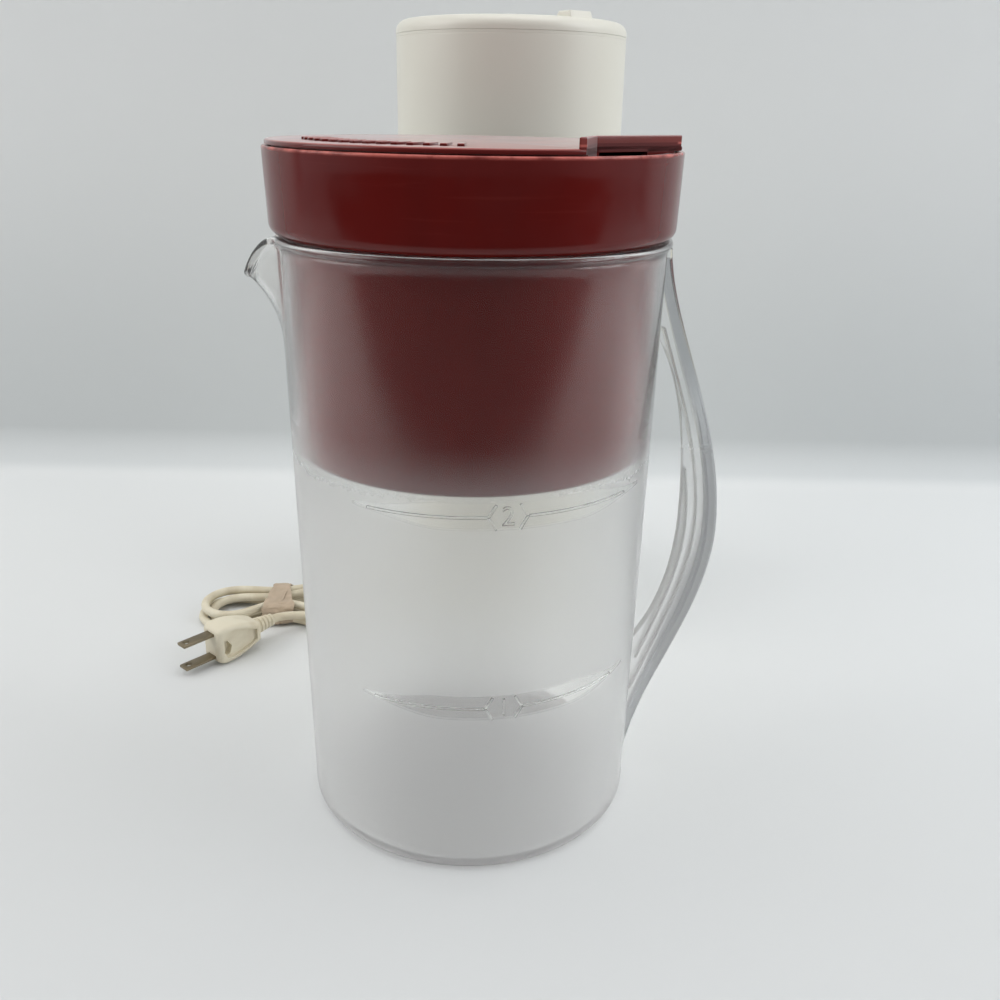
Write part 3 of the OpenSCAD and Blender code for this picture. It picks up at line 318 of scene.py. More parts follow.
def eased(name, node, finish, body, slot, rim=0.0004, sharp=32):
    """Merges a copy of a node's mesh and rounds its sharp edges a little."""
    source = frame["nodes"][node]
    bm = bmesh.new()
    bm.from_mesh(source.data)
    bmesh.ops.remove_doubles(bm, verts=bm.verts, dist=2e-6)
    bmesh.ops.dissolve_limit(bm, angle_limit=math.radians(0.5), verts=bm.verts, edges=bm.edges)
    obj = piece(name, bm, finish, body, slot, node, sharp=sharp)
    if rim:
        soft = obj.modifiers.new("rim", "BEVEL")
        soft.width = rim
        soft.segments = 2
        soft.limit_method = "ANGLE"
        soft.angle_limit = math.radians(40)
        soft.harden_normals = True
    return obj


# Finishes

def finish(name, colour, rough, **sockets):
    """A new material, with the plain values of its shader's sockets."""
    mat = bpy.data.materials.new(name)
    mat.use_nodes = True
    shader = mat.node_tree.nodes["Principled BSDF"]
    shader.inputs["Base Color"].default_value = (*colour, 1)
    shader.inputs["Roughness"].default_value = rough
    for socket, value in sockets.items():
        shader.inputs[socket.replace("_", " ")].default_value = value
    return mat


def math_node(tree, operation, *values):
    node = tree.nodes.new("ShaderNodeMath")
    node.operation = operation
    for i, value in enumerate(values):
        if isinstance(value, (int, float)):
            node.inputs[i].default_value = value
        else:
            tree.links.new(value, node.inputs[i])
    return node.outputs[0]


def times(tree, a, b):
    return math_node(tree, "MULTIPLY", a, b)


def plus(tree, a, b):
    return math_node(tree, "ADD", a, b)


def minus(tree, a, b):
    return math_node(tree, "SUBTRACT", a, b)


def off_by(tree, a, b):
    return math_node(tree, "ABSOLUTE", minus(tree, a, b))


def ease(tree, value, low, high, out_low=0.0, out_high=1.0):
    """Goes smoothly from out_low to out_high as the value goes from low to high."""
    node = tree.nodes.new("ShaderNodeMapRange")
    node.interpolation_type = "SMOOTHSTEP"
    for i, number in enumerate((low, high, out_low, out_high), 1):
        node.inputs[i].default_value = number
    tree.links.new(value, node.inputs[0])
    return node.outputs[0]


def place_of(tree, shift=(0, 0, 0), stretch=(1, 1, 1), turn=0.0):
    coords = tree.nodes.new("ShaderNodeTexCoord")
    mapping = tree.nodes.new("ShaderNodeMapping")
    mapping.inputs["Location"].default_value = shift
    mapping.inputs["Rotation"].default_value = (0, 0, turn)
    mapping.inputs["Scale"].default_value = stretch
    tree.links.new(coords.outputs["Object"], mapping.inputs["Vector"])
    return mapping.outputs["Vector"]


def axes_of(tree, shift=(0, 0, 0)):
    """The x, y and z of the place on the piece, from an axis that the shift brings to the middle."""
    split = tree.nodes.new("ShaderNodeSeparateXYZ")
    tree.links.new(place_of(tree, shift=shift), split.inputs[0])
    return split.outputs


def grain(mat, scale, detail=3.0, stretch=(1, 1, 1), turn=0.0, distortion=0.0):
    tree = mat.node_tree
    node = tree.nodes.new("ShaderNodeTexNoise")
    node.inputs["Scale"].default_value = scale
    node.inputs["Detail"].default_value = detail
    node.inputs["Distortion"].default_value = distortion
    tree.links.new(place_of(tree, stretch=stretch, turn=turn), node.inputs["Vector"])
    return node.outputs["Fac"]


def wash(mat, fac, *stops):
    """Colours the surface from stops of (position, colour), over what is there."""
    tree = mat.node_tree
    ramp = tree.nodes.new("ShaderNodeValToRGB")
    while len(ramp.color_ramp.elements) < len(stops):
        ramp.color_ramp.elements.new(0.5)
    for element, (position, colour) in zip(ramp.color_ramp.elements, stops):
        element.position = position
        element.color = (*colour, 1)
    tree.links.new(fac, ramp.inputs["Fac"])
    tree.links.new(ramp.outputs["Color"], tree.nodes["Principled BSDF"].inputs["Base Color"])
    return ramp.outputs["Color"]


def stain(mat, fac, colour):
    """Lays one more colour over the surface where fac is high."""
    tree = mat.node_tree
    target = tree.nodes["Principled BSDF"].inputs["Base Color"]
    mix = tree.nodes.new("ShaderNodeMix")
    mix.data_type = "RGBA"
    if target.links:
        tree.links.new(target.links[0].from_socket, mix.inputs[6])
    else:
        mix.inputs[6].default_value = target.default_value
    mix.inputs[7].default_value = (*colour, 1)
    tree.links.new(fac, mix.inputs[0])
    tree.links.new(mix.outputs[2], target)


def dull(mat, fac, low, high, rough_low, rough_high):
    """Varies the roughness with fac."""
    tree = mat.node_tree
    tree.links.new(ease(tree, fac, low, high, rough_low, rough_high),
                   tree.nodes["Principled BSDF"].inputs["Roughness"])


def relief(mat, fac, distance, strength=1.0):
    """Lays one more fine bump over the surface."""
    tree = mat.node_tree
    shader = tree.nodes["Principled BSDF"]
    bump = tree.nodes.new("ShaderNodeBump")
    bump.inputs["Distance"].default_value = distance
    bump.inputs["Strength"].default_value = strength
    if shader.inputs["Normal"].links:
        tree.links.new(shader.inputs["Normal"].links[0].from_socket, bump.inputs["Normal"])
    tree.links.new(fac, bump.inputs["Height"])
    tree.links.new(bump.outputs["Normal"], shader.inputs["Normal"])


STRIP_LEVELS = (0.0722, 0.1452)
STRIP_TURN = math.radians(76)
STRIP_END = (math.radians(44), math.radians(50))


def scuffed_clear(name, tint):
    """Clear plastic gone hazy, with two strips that stayed clear behind the level lines."""
    p = bpy.context.scene.tea_maker.pitcher
    mat = finish(name, tint, p.haze, IOR=1.46, Transmission_Weight=p.cloud, Specular_IOR_Level=0.22)
    tree = mat.node_tree
    shader = tree.nodes["Principled BSDF"]
    x, y, z = axes_of(tree, TO_PITCHER_AXIS)
    side = math_node(tree, "ABSOLUTE", plus(tree, math_node(tree, "ARCTAN2", y, x), STRIP_TURN))
    off = math_node(tree, "MINIMUM", *[off_by(tree, z, level) for level in STRIP_LEVELS])
    taper = ease(tree, side, math.radians(20), math.radians(47), 0.0, 0.004)
    strip = ease(tree, plus(tree, off, taper), 0.0042, 0.0052, 1.0, 0.0)
    near = times(tree, strip, ease(tree, side, *STRIP_END, 1.0, 0.0))
    hazy = minus(tree, 1.0, times(tree, near, 0.85))
    # The wall is milky below the basket, and specks and clouds roughen it all over.
    milky = ease(tree, z, 0.135, 0.17, 1.0, 0.0)
    rough = 0.5 * p.haze
    for part, weight in ((ease(tree, grain(mat, 420, 2), 0.3, 0.72), 0.02),
                         (ease(tree, grain(mat, 24, 4), 0.3, 0.7), 0.04), (milky, 0.23)):
        rough = plus(tree, rough, times(tree, part, weight))
    tree.links.new(times(tree, rough, hazy), shader.inputs["Roughness"])
    veil = times(tree, times(tree, milky, hazy), ease(tree, z, 0.02, 0.1, 0.125, 0.13))
    tree.links.new(minus(tree, p.cloud, veil), shader.inputs["Transmission Weight"])
    # The foot is greyed as a painted contact shadow where it stands on the table.
    stain(mat, ease(tree, z, 0.0008, 0.003, 0.8, 0.0), (0.25, 0.235, 0.25))
    # Light passes through the wall, so it throws only a faint shadow.
    path = tree.nodes.new("ShaderNodeLightPath")
    tree.links.new(ease(tree, path.outputs["Is Shadow Ray"], 0, 1, 1.0, 0.1), shader.inputs["Alpha"])
    return mat


def glossy_red(name, rim_z, reach=0.0011, film=0.0):
    """Deep red gloss with faint scratches, a rubbed upper edge, a sheen of scuffing on top, and a top painted
    paler with dust together with a painted reflection.
    """
    b = bpy.context.scene.tea_maker.basket
    mat = finish(name, b.red, 0.2, Coat_Weight=0.04, Coat_Roughness=0.08, Specular_IOR_Level=0.26,
                 Sheen_Weight=film, Sheen_Roughness=0.35)
    tree = mat.node_tree
    deep = tuple(0.78 * c for c in b.red)
    wash(mat, grain(mat, 34, 2, stretch=(1, 1, 0.03)), (0.3, deep), (0.7, b.red))
    z = axes_of(tree)[2]
    # The upper edge is rubbed in patches, and only at the outside of the band or lid.
    edge = ease(tree, off_by(tree, z, rim_z), 0.1 * reach, reach, 1.0, 0.0)
    worn = times(tree, edge, ease(tree, grain(mat, 160, 4), 0.3, 0.62, 0.25, 1.0))
    from_axis = tree.nodes.new("ShaderNodeVectorMath")
    from_axis.operation = "LENGTH"
    tree.links.new(place_of(tree, TO_PITCHER_AXIS, (1, 1, 0)), from_axis.inputs[0])
    stain(mat, times(tree, worn, ease(tree, from_axis.outputs["Value"], 0.0692, 0.0698)), b.wear_and_reflection)
    hair = ease(tree, grain(mat, 22, 6, stretch=(1, 1, 30), distortion=0.4), 0.6, 0.74)
    stain(mat, times(tree, hair, 0.03), b.wear_and_reflection)
    dull(mat, grain(mat, 70, 5), 0.35, 0.75, 0.1, 0.22)
    relief(mat, grain(mat, 500, 3), 0.000004, 0.3)
    # The basket below its band is a little paler. The lid's up-facing top and raised parts are paler still:
    # dust together with a painted reflection of the pale surroundings.
    stain(mat, ease(tree, z, 0.222, 0.227, 0.1, 0.0), b.wear_and_reflection)
    facing = tree.nodes.new("ShaderNodeSeparateXYZ")
    tree.links.new(tree.nodes.new("ShaderNodeTexCoord").outputs["Normal"], facing.inputs[0])
    # Up-facing and raised parts of the lid get dust together with a painted reflection.
    flat = times(tree, ease(tree, facing.outputs[2], 0.35, 0.9), ease(tree, z, 0.2565, 0.257))
    flat = math_node(tree, "MAXIMUM", flat, ease(tree, z, 0.2588, 0.2592, 0.0, 0.28))
    stain(mat, times(tree, flat, 0.55), b.wear_and_reflection)
    return mat


def aged_cream(name):
    """Cream moulded plastic, a little yellowed and rubbed."""
    t = bpy.context.scene.tea_maker.tower
    mat = finish(name, t.cream, 0.34, Specular_IOR_Level=0.5)
    wash(mat, grain(mat, 14, 2, stretch=(1, 1, 0.12)), (0.1, t.aged), (0.9, t.cream))
    dull(mat, grain(mat, 60, 5), 0.3, 0.75, 0.28, 0.4)
    relief(mat, grain(mat, 800, 3), 0.00001, 0.35)
    return mat


def soiled_ivory():
    """Ivory vinyl, darker where it is handled."""
    c = bpy.context.scene.tea_maker.lead
    mat = finish("Soiled ivory vinyl", c.ivory, 0.42, Specular_IOR_Level=0.45)
    wash(mat, grain(mat, 55, 5, distortion=0.5), (0.3, c.soiled), (0.58, c.ivory))
    dull(mat, grain(mat, 140, 4), 0.3, 0.7, 0.34, 0.56)
    relief(mat, grain(mat, 700, 3), 0.00003, 0.5)
    return mat


def creased_paper():
    """Thin brown paper with creases in its colour and relief."""
    c = bpy.context.scene.tea_maker.lead
    mat = finish("Creased paper", c.paper, 0.85, Sheen_Weight=0.15)
    pale = tuple(min(1, 1.2 * v) for v in c.paper)
    wash(mat, grain(mat, 150, 6, distortion=0.8), (0.3, c.paper), (0.65, pale))
    relief(mat, grain(mat, 260, 5, distortion=1.2), 0.0003, 0.6)
    return mat


def metal(name, colour, rough, scale, stretch=(1, 1, 1), depth=0.00002):
    """Metal with darker and duller patches; a stretch makes them brush marks."""
    mat = finish(name, colour, rough, Metallic=1.0)
    dark = tuple(0.8 * v for v in colour)
    wash(mat, grain(mat, scale, 4, stretch=stretch), (0.3, dark), (0.7, colour))
    dull(mat, grain(mat, 2 * scale, 4, stretch=stretch), 0.3, 0.7, 0.75 * rough, 1.25 * rough)
    relief(mat, grain(mat, 4 * scale, 3, stretch=stretch), depth, 0.6)
    return mat


def moulded(name, colour, rough, scale=300, depth=0.00003, **sockets):
    """Moulded plastic or rubber with a fine grain and paler, worn patches."""
    mat = finish(name, colour, rough, **sockets)
    worn = tuple(min(1, 1.15 * v + 0.015) for v in colour)
    wash(mat, grain(mat, scale / 4, 4), (0.35, colour), (0.7, worn))
    dull(mat, grain(mat, scale / 2, 4), 0.3, 0.7, 0.85 * rough, min(1, 1.25 * rough))
    relief(mat, grain(mat, 3 * scale, 3), depth, 0.5)
    return mat


# The mains lead: its route from the tower through the hank to the plug

CORD = 4.6                            # thickness of the lead
FOLD = 2.5 * CORD                     # radius of the innermost fold of the hank
PITCH = CORD + 1.3                    # from one turn to the next
HALF = 26                             # half the length of a straight run
INWARD = 1.25                         # turns inward on the floor, and outward again on top
CLIMB = 0.5                           # turns in which the lead climbs from one to the other
LOOPS = 2 * INWARD + CLIMB
LOW = CORD / 2 + 0.1                  # height of the lower turns
HANK = (-118, 56.5, math.radians(8))  # place and turn of the hank
TIE_LIFT = 1.5                        # how far the band lifts the waist


def loop_reach(u):
    """How far the turn u of the hank lies from its middle line."""
    return FOLD + PITCH * max(INWARD - u, u - INWARD - CLIMB, 0)


def loop_rise(u):
    """The height of the turn u: it climbs from the lower loops onto the upper ones."""
    t = max(0, min(1, (u - INWARD) / CLIMB))
    return LOW + PITCH * t * t * (3 - 2 * t)


def run_side(x, reach):
    """Half the width of the hank at x, drawn in to a waist under the paper band."""
    waist = 0.62 * PITCH + (reach - FOLD) * 1.16
    return reach - (reach - waist) * math.cos(math.pi / 2 * x / HALF) ** 2


def loop_plan(u):
    """The place in plan after u turns: a run, a fold, the run back and the other fold."""
    reach = loop_reach(u)
    fold = math.pi * reach
    s = (u - math.floor(u)) * (4 * HALF + 2 * fold)
    if s < 2 * HALF:
        return HALF - s, -run_side(HALF - s, reach)
    if s < 2 * HALF + fold:
        a = -math.pi / 2 - math.pi * (s - 2 * HALF) / fold
        return -HALF + reach * math.cos(a), reach * math.sin(a)
    if s < 4 * HALF + fold:
        x = -HALF + s - 2 * HALF - fold
        return x, run_side(x, reach)
    a = math.pi / 2 - math.pi * (s - 4 * HALF - fold) / fold
    return HALF + reach * math.cos(a), reach * math.sin(a)


def on_hank(x, y, z):
    hx, hy, turn = HANK
    return Vector((hx + x * math.cos(turn) - y * math.sin(turn),
                   hy + x * math.sin(turn) + y * math.cos(turn), z))


def hank_points():
    """The route through the hank, where the runs lift a little under the paper band."""
    count = round(LOOPS * 24)
    points = [on_hank(HALF + CORD, -loop_reach(0), LOW)]
    for i in range(count):
        u = LOOPS * i / count
        x, y = loop_plan(u)
        lift = TIE_LIFT * math.cos(math.pi / 2 * min(1, abs(x) / HALF)) ** 2
        points.append(on_hank(x, y, loop_rise(u) + lift))
    high, reach = loop_rise(LOOPS), loop_reach(LOOPS)
    return points + [on_hank(HALF, -reach, high), on_hank(HALF - CORD, -reach, high)]


PLUG_FACE = Vector((-142, 2, 10.5))
PLUG_TURN = math.radians(229)
PLUG_L, PLUG_NECK, PLUG_T = 26, 12, 15
BLADES_AT = (-6.35, 6.35)
AT_PLUG = Matrix.Translation(PLUG_FACE / 1000) @ Matrix.Rotation(PLUG_TURN, 4, "Z")

# The sleeve leaves the shell at this height and turn, and reaches from its root to its tip.
RELIEF_Z, RELIEF_ASIDE = 11.5, -12
RELIEF_TURN = TOWER_TURN + math.radians(RELIEF_ASIDE)
RELIEF_OUT = Vector((math.cos(RELIEF_TURN), math.sin(RELIEF_TURN), 0))
RELIEF_AXIS = Vector((5.55, 85.39, RELIEF_Z))
RELIEF_ROOT, RELIEF_TIP = [RELIEF_AXIS + reach * RELIEF_OUT for reach in (52.9, 73.32)]


def lead_points():
    """The whole route, from the sleeve's tip down to the floor, round the hank and to the plug."""
    plug_way = Vector((math.cos(PLUG_TURN), math.sin(PLUG_TURN), 0))
    neck = PLUG_FACE - (PLUG_L + PLUG_NECK + 0.02) * plug_way
    out = [(-65, 52.2, 11), (-68.8, 49.9, 9.5), (-72.7, 47.3, 7), (-76.7, 45, 4.4), (-80.7, 43.2, 2.9)]
    back = [(-99.1, 39.9, 8.4), (-104.2, 38.5, 8.9), (-109.1, 36.5, 9.6), (-113.5, 33.9, 10.2)]
    out, back = [[Vector(p) for p in run] for run in (out, back)]
    return [RELIEF_TIP] + out + hank_points() + back + [neck]


class TEAMAKER_OT_mains_lead(bpy.types.Operator):
    """Lays the mains lead with its sleeve, hank, paper band and plug"""
    bl_idname = "teamaker.mains_lead"
    bl_label = "Mains lead"

    def execute(self, context):
        vinyl = soiled_ivory()
        points = [p / 1000 for p in lead_points()]
        curve = bpy.data.curves.new("mains_lead", "CURVE")
        curve.dimensions = "3D"
        curve.resolution_u = 3
        curve.bevel_depth = context.scene.tea_maker.lead.thick / 2
        curve.bevel_resolution = 4
        curve.use_fill_caps = True
        spline = curve.splines.new("BEZIER")
        spline.bezier_points.add(len(points) - 1)
        for knot, point in zip(spline.bezier_points, points):
            knot.co = point
            knot.handle_left_type = knot.handle_right_type = "AUTO"
        curve.materials.append(vinyl)
        lead = bpy.data.objects.new("mains_lead", curve)
        context.scene.collection.objects.link(lead)
        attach(lead, "tower")
        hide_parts("supply_cord", "cord_hank", "plug_lead")
        band = self.paper_band()
        plug = self.plug(vinyl)
        blades = self.blades()
        self.sleeve(vinyl)
        return {"FINISHED"}

    def paper_band(self):
        """Two crumpled turns of a paper band, drawn round the waist of the hank."""
        half = run_side(6, FOLD + PITCH * INWARD) + CORD / 2 + 1.1
        low, high = 0.1, LOW + TIE_LIFT + PITCH + CORD / 2 + 0.9
        around, across = 72, 9
        loop = []
        for i in range(around):
            a = 2 * math.pi * i / around
            c, s = math.cos(a), math.sin(a)
            loop.append((half * math.copysign(abs(c) ** 0.4, c),
                         (low + high) / 2 + (high - low) / 2 * math.copysign(abs(s) ** 0.4, s)))
        middle = Vector((0, 0, (low + high) / 2))
        whole = bmesh.new()
        for turn, start, width, seed in ((-11, -6.5, 9.5, 2.0), (9, -2.5, 8.5, 9.0)):
            bm = bmesh.new()
            first = [bm.verts.new((start, y, z)) for y, z in loop]
            rims = [bm.edges.new(pair) for pair in ring_of(first)]
            for i in range(across):
                grown = bmesh.ops.extrude_edge_only(bm, edges=rims)["geom"]
                rims = [g for g in grown if isinstance(g, bmesh.types.BMEdge)]
                edge = [g for g in grown if isinstance(g, bmesh.types.BMVert)]
                bmesh.ops.translate(bm, vec=(width / across, 0, 0), verts=edge)
            shift = Vector((seed, seed, 0))
            for v in bm.verts:
                away = (Vector((0, v.co.y, v.co.z)) - middle).normalized()
                crease = noise.noise(v.co * 0.5 + shift) * 0.8 + abs(noise.noise(v.co * 1.1 + shift)) * 0.7
                v.co -= away * (0.1 + 0.95 * crease + 0.02 * seed)
                v.co.x += 0.9 * noise.noise(Vector((v.co.y, v.co.z, seed)) * 0.35)
            bmesh.ops.rotate(bm, cent=(0, 0, 0), matrix=about_z(turn, 3), verts=bm.verts)
            for v in bm.verts:
                v.co.z = max(v.co.z, 0.06)
            bmesh.ops.recalc_face_normals(bm, faces=bm.faces)
            bmesh.ops.solidify(bm, geom=bm.faces[:], thickness=0.3)
            join(whole, bm)
        place = at(HANK[0] / 1000, HANK[1] / 1000, 0) @ Matrix.Rotation(HANK[2], 4, "Z")
        return piece("paper_band", whole, creased_paper(), "tower", "tie_paper", "cord_tie",
                     place=place @ MM, sharp=50)

    def plug(self, vinyl):
        """The moulded plug on its edge, with a recess for the finger and a ribbed neck."""
        upper = [(0, 7.6), (-0.7, 8.8), (-2.2, 9.8), (-4.6, 10.4), (-8.5, 10.3), (-13, 9.5), (-18, 8),
                 (-22.5, 6.3), (-PLUG_L, 4.8)]
        side = upper + [(x, -y) for x, y in reversed(upper)]
        body = prism(side, -PLUG_T / 2, PLUG_T / 2, 2.6, 5)
        moved(body, STAND)
        half = [(-2.9, 4.6), (-4.6, 6.6), (-8, 7.3), (-13, 6.6), (-18, 5), (-23, 2.8)]
        dish = prism(half + [(x, -y) for x, y in reversed(half)], PLUG_T / 2 - 1.6, PLUG_T / 2 + 3)
        hollow = [(-3.4, -4.2), (-3.4, 2.6), (-6, 2), (-8.2, -1.4), (-7, -5.2), (-5, -6)]
        notch = prism(hollow, PLUG_T / 2 - 4.4, PLUG_T / 2 + 2)
        cuts = []
        for cut in (dish, notch):
            moved(cut, STAND)
            other = moved(cut.copy(), Matrix.Scale(-1, 4, (0, 1, 0)))
            bmesh.ops.reverse_faces(other, faces=other.faces)
            cuts += [("DIFFERENCE", cut), ("DIFFERENCE", other)]
        slots = join(*[block((-3, -3.3, z - 0.85), (1, 3.3, z + 0.85)) for z in BLADES_AT])
        body = carve(body, *cuts, ("DIFFERENCE", slots))
        bmesh.ops.dissolve_limit(body, angle_limit=math.radians(1), verts=body.verts, edges=body.edges)
        outline = [(0, -1)]
        for i in range(5):
            x = 0.6 + 2.4 * i
            r = 4.5 - 0.3 * i
            outline += [(r - 0.5, x - 0.5), (r, x), (r, x + 1.1), (r - 0.5, x + 1.5), (r - 1.3, x + 1.6)]
        outline += [(CORD / 2 + 0.3, PLUG_NECK), (0, PLUG_NECK)]
        neck = moved(turned(outline, 48), Matrix.Rotation(-math.pi / 2, 4, "Y"))
        moved(neck, Matrix.Translation((-PLUG_L, 0, 0)))
        join(body, neck)
        return piece("plug", body, vinyl, "tower", "ivory_vinyl", "plug_body",
                     place=AT_PLUG @ MM, sharp=40)

    def blades(self):
        brass = metal("Tarnished brass", (0.3, 0.25, 0.17), 0.38, 200)
        solid = bmesh.new()
        for z in BLADES_AT:
            join(solid, block((-2, -3.17, z - 0.75), (17, 3.17, z + 0.75), 0.35, 2))
        solid = carve(solid, ("DIFFERENCE", rod(1.6, 30, at(13.8, 0, 0))))
        return piece("blades", solid, brass, "tower", "brass", "plug_blades",
                     place=AT_PLUG @ MM, sharp=40)

    def sleeve(self, vinyl):
        """The tapered sleeve that keeps the lead from kinking where it leaves the shell."""
        outline = [(0, -2.4), (4.6, -2.4), (5, -2.0), (5, -0.8), (4.6, -0.4), (4, -0.4), (4, 2.7),
                   (4.6, 2.7), (5, 3.1), (5, 5.3), (4.6, 5.7)]
        for i in range(5):
            x = 6.2 + 2.75 * i
            r = 4.4 - 0.3 * i
            outline += [(r - 0.7, x), (r, x + 0.3), (r - 0.12, x + 1.9), (r - 0.8, x + 2.2)]
        outline += [(CORD / 2 + 0.35, 20.1), (0, 20.4)]
        place = Matrix.Translation(RELIEF_ROOT / 1000) @ Matrix.Rotation(RELIEF_TURN, 4, "Z") @ MM
        return piece("sleeve", moved(turned(outline, 64), ALONG_X), vinyl, "tower", "ivory_vinyl",
                     "strain_relief", place=place, sharp=40)


# Pitcher

def wall_at(z):
    """Outer radius of the pitcher at a height, in millimetres."""
    p = bpy.context.scene.tea_maker.pitcher
    return 1000 * (p.radius + p.flare * z / (1000 * p.height))


def steps_of(n, low, high):
    """Heights in n even steps from low to high."""
    return [low + (high - low) * i / n for i in range(n + 1)]


class TEAMAKER_OT_pitcher(bpy.types.Operator):
    """Spins the hazy pitcher, draws out its spout and adds the handle and the level marks"""
    bl_idname = "teamaker.pitcher"
    bl_label = "Pitcher"

    def execute(self, context):
        p = context.scene.tea_maker.pitcher
        h, r0, wall = 1000 * p.height, 1000 * p.radius, 1000 * p.wall
        rim = wall_at(h)
        bore = rim - wall
        outer = [(wall_at(z), z) for z in steps_of(8, 5, 180) + steps_of(16, 183, h - 4.6)]
        inner = [(bore + (r0 - wall - bore) * (h - z) / (h - 5.2), z) for z in steps_of(18, h - 1, 183)]
        outline = [(0, 1), (r0 - 7.4, 1), (r0 - 6.4, 0.2), (r0 - 5.8, 0)]
        outline += arc(r0 - 4, 4, 4, -90, 0, 12) + outer
        outline += arc(rim + 0.2, h - 1.4, 1.4, -70, 90, 10)
        outline += arc(bore + 0.5, h - 0.5, 0.5, 90, 180, 3) + inner
        outline += arc(r0 - wall - 1.6, 5.2, 1.6, 0, -90, 8) + [(0, 3.6)]
        body = turned(outline)
        self.draw_spout(body, h, 1000 * p.spout)
        join(body, *self.handle(h, 1000 * p.reach), *self.marks())
        clear = piece("pitcher_clear", body, scuffed_clear("Scuffed clear plastic", p.tint), "pitcher",
                      "clear_plastic", "pitcher", place=AT_PITCHER, sharp=35)
        # The flange along the handle takes the darker edge tint, a painted shade.
        clear.data.materials.append(scuffed_clear("Clear plastic with painted edge shade", p.edge))
        return {"FINISHED"}

    def draw_spout(self, bm, h, reach):
        """Pulls the wall out and the rim down towards -X."""
        tall, dip, half = 42, 15.5, math.radians(19)
        root = h - tall
        for v in bm.verts:
            s = (math.pi - abs(math.atan2(v.co.y, v.co.x))) / half
            if s >= 1 or v.co.z < root:
                continue
            across = math.cos(math.pi / 2 * s)
            lip = h - dip * (across ** 1.6) ** 1.8
            v.co.z = root + (v.co.z - root) * (lip - root) / (h - root)
            rise = min(1, (v.co.z - root) / (tall - dip)) ** 2.1
            away = Vector((v.co.x, v.co.y, 0)).normalized()
            v.co += away * ((reach - wall_at(h) - 0.4) * across ** 1.6 * rise)

    def handle(self, h, reach):
        """A web with an open grip, a wide flange along its outside and two thin ridges."""
        top, grip, low = h - 4, 118, 8
        outer = bezier([(wall_at(h) + 2.2, top), (wall_at(h) + 3.7, 196), (reach, 160), (reach, grip)], 22)
        outer += bezier([(reach, grip), (reach, 82), (wall_at(8) + 3.3, 42), (wall_at(low), low)], 22)[1:]
        inside = reach - 13.5
        inner = bezier([(wall_at(64) - 1.2, 64), (inside - 6, 78), (inside, 98), (inside, grip + 4)], 16)
        inner += bezier([(inside, grip + 4), (inside, 152), (inside - 3.5, 176),
                         (wall_at(193) - 1.2, 193)], 16)[1:]
        outline = [(wall_at(top) - 1.2, top)] + outer + [(wall_at(low) - 1.2, low)] + inner
        web = prism(outline, -2.5, 2.5, 0.7, 3)
        moved(web, STAND)
        wide = bezier([(2.5, top + 1), (3, 190), (8.5, 165), (8.5, grip)], 20)
        wide += bezier([(8.5, grip), (8.5, 75), (2, 50), (1, 0)], 20)[1:]
        wide = sorted(wide, key=lambda q: q[1])
        flange = self.strip(outer[1:-2], wide, 0.05, 4.4, 1.0)
        # The flange takes the second material, with its painted edge shade.
        for face in flange.faces:
            face.material_index = 1
        parts = [web, flange]
        clear = sorted(inner, key=lambda q: q[1])
        for back in (6.8, 10.6):
            ridge = []
            for x, z in outer:
                edge = between(clear, z) if 64 < z < 193 else wall_at(z)
                if x - back - 1 > edge + 0.2:
                    ridge.append((x, z))
            if len(ridge) > 4:
                parts.append(self.strip(ridge, [(3.3, 0), (3.3, 300)], back, back + 1, 0.35))
        return parts

    def strip(self, line, wide, near, far, rim):
        """A long flat strip that follows a line of points, as wide as asked at each height."""
        sections = []
        for x, z in line:
            w = between(wide, z)
            c = min(rim, 0.45 * w)
            a, b = x - near, x - far
            sections.append([(a, -w + c, z), (a, w - c, z), (a - c, w, z), (b + c, w, z),
                             (b, w - c, z), (b, -w + c, z), (b + c, -w, z), (a - c, -w, z)])
        return swept(sections)

    def marks(self):
        """Two level lines and plain numbers in pointed frames, all standing out a little."""
        parts = []
        middle, gap, span = -78, 6, 35
        for z, number in ((72, "1"), (145, "2")):
            r = wall_at(z)
            loop = [(r - 0.3, -0.45), (r + 0.38, -0.45), (r + 0.5, -0.33),
                    (r + 0.5, 0.33), (r + 0.38, 0.45), (r - 0.3, 0.45)]
            for way in (-1, 1):
                bm = bmesh.new()
                face = bm.faces.new([bm.verts.new((x, 0, z + y)) for x, y in loop])
                bmesh.ops.rotate(bm, cent=(0, 0, 0), matrix=about_z(middle + gap * way, 3), verts=bm.verts)
                bmesh.ops.spin(bm, geom=[face], cent=(0, 0, 0), axis=(0, 0, 1), dvec=(0, 0, 0),
                               angle=math.radians(span * way), steps=36, use_merge=False, use_duplicate=False)
                bmesh.ops.recalc_face_normals(bm, faces=bm.faces)
                parts.append(bm)
            flat = [self.bar((s * 6.6, 0), (s * 4, t * 4.4)) for s in (-1, 1) for t in (-1, 1)]
            flat.append(self.number(number))
            sign = join(*flat)
            for v in sign.verts:
                a = math.radians(middle) + v.co.x / r
                out = r + v.co.z
                v.co = Vector((out * math.cos(a), out * math.sin(a), z + v.co.y))
            parts.append(sign)
        return parts

    def bar(self, a, b):
        """One stroke of a pointed frame, from a to b in the flat."""
        a, b = Vector((*a, 0)), Vector((*b, 0))
        bm = block((0, -0.45, -0.4), ((b - a).length, 0.45, 0.5), 0.15, 2)
        turn = math.atan2(b.y - a.y, b.x - a.x)
        return moved(bm, Matrix.Translation(a) @ Matrix.Rotation(turn, 4, "Z"))

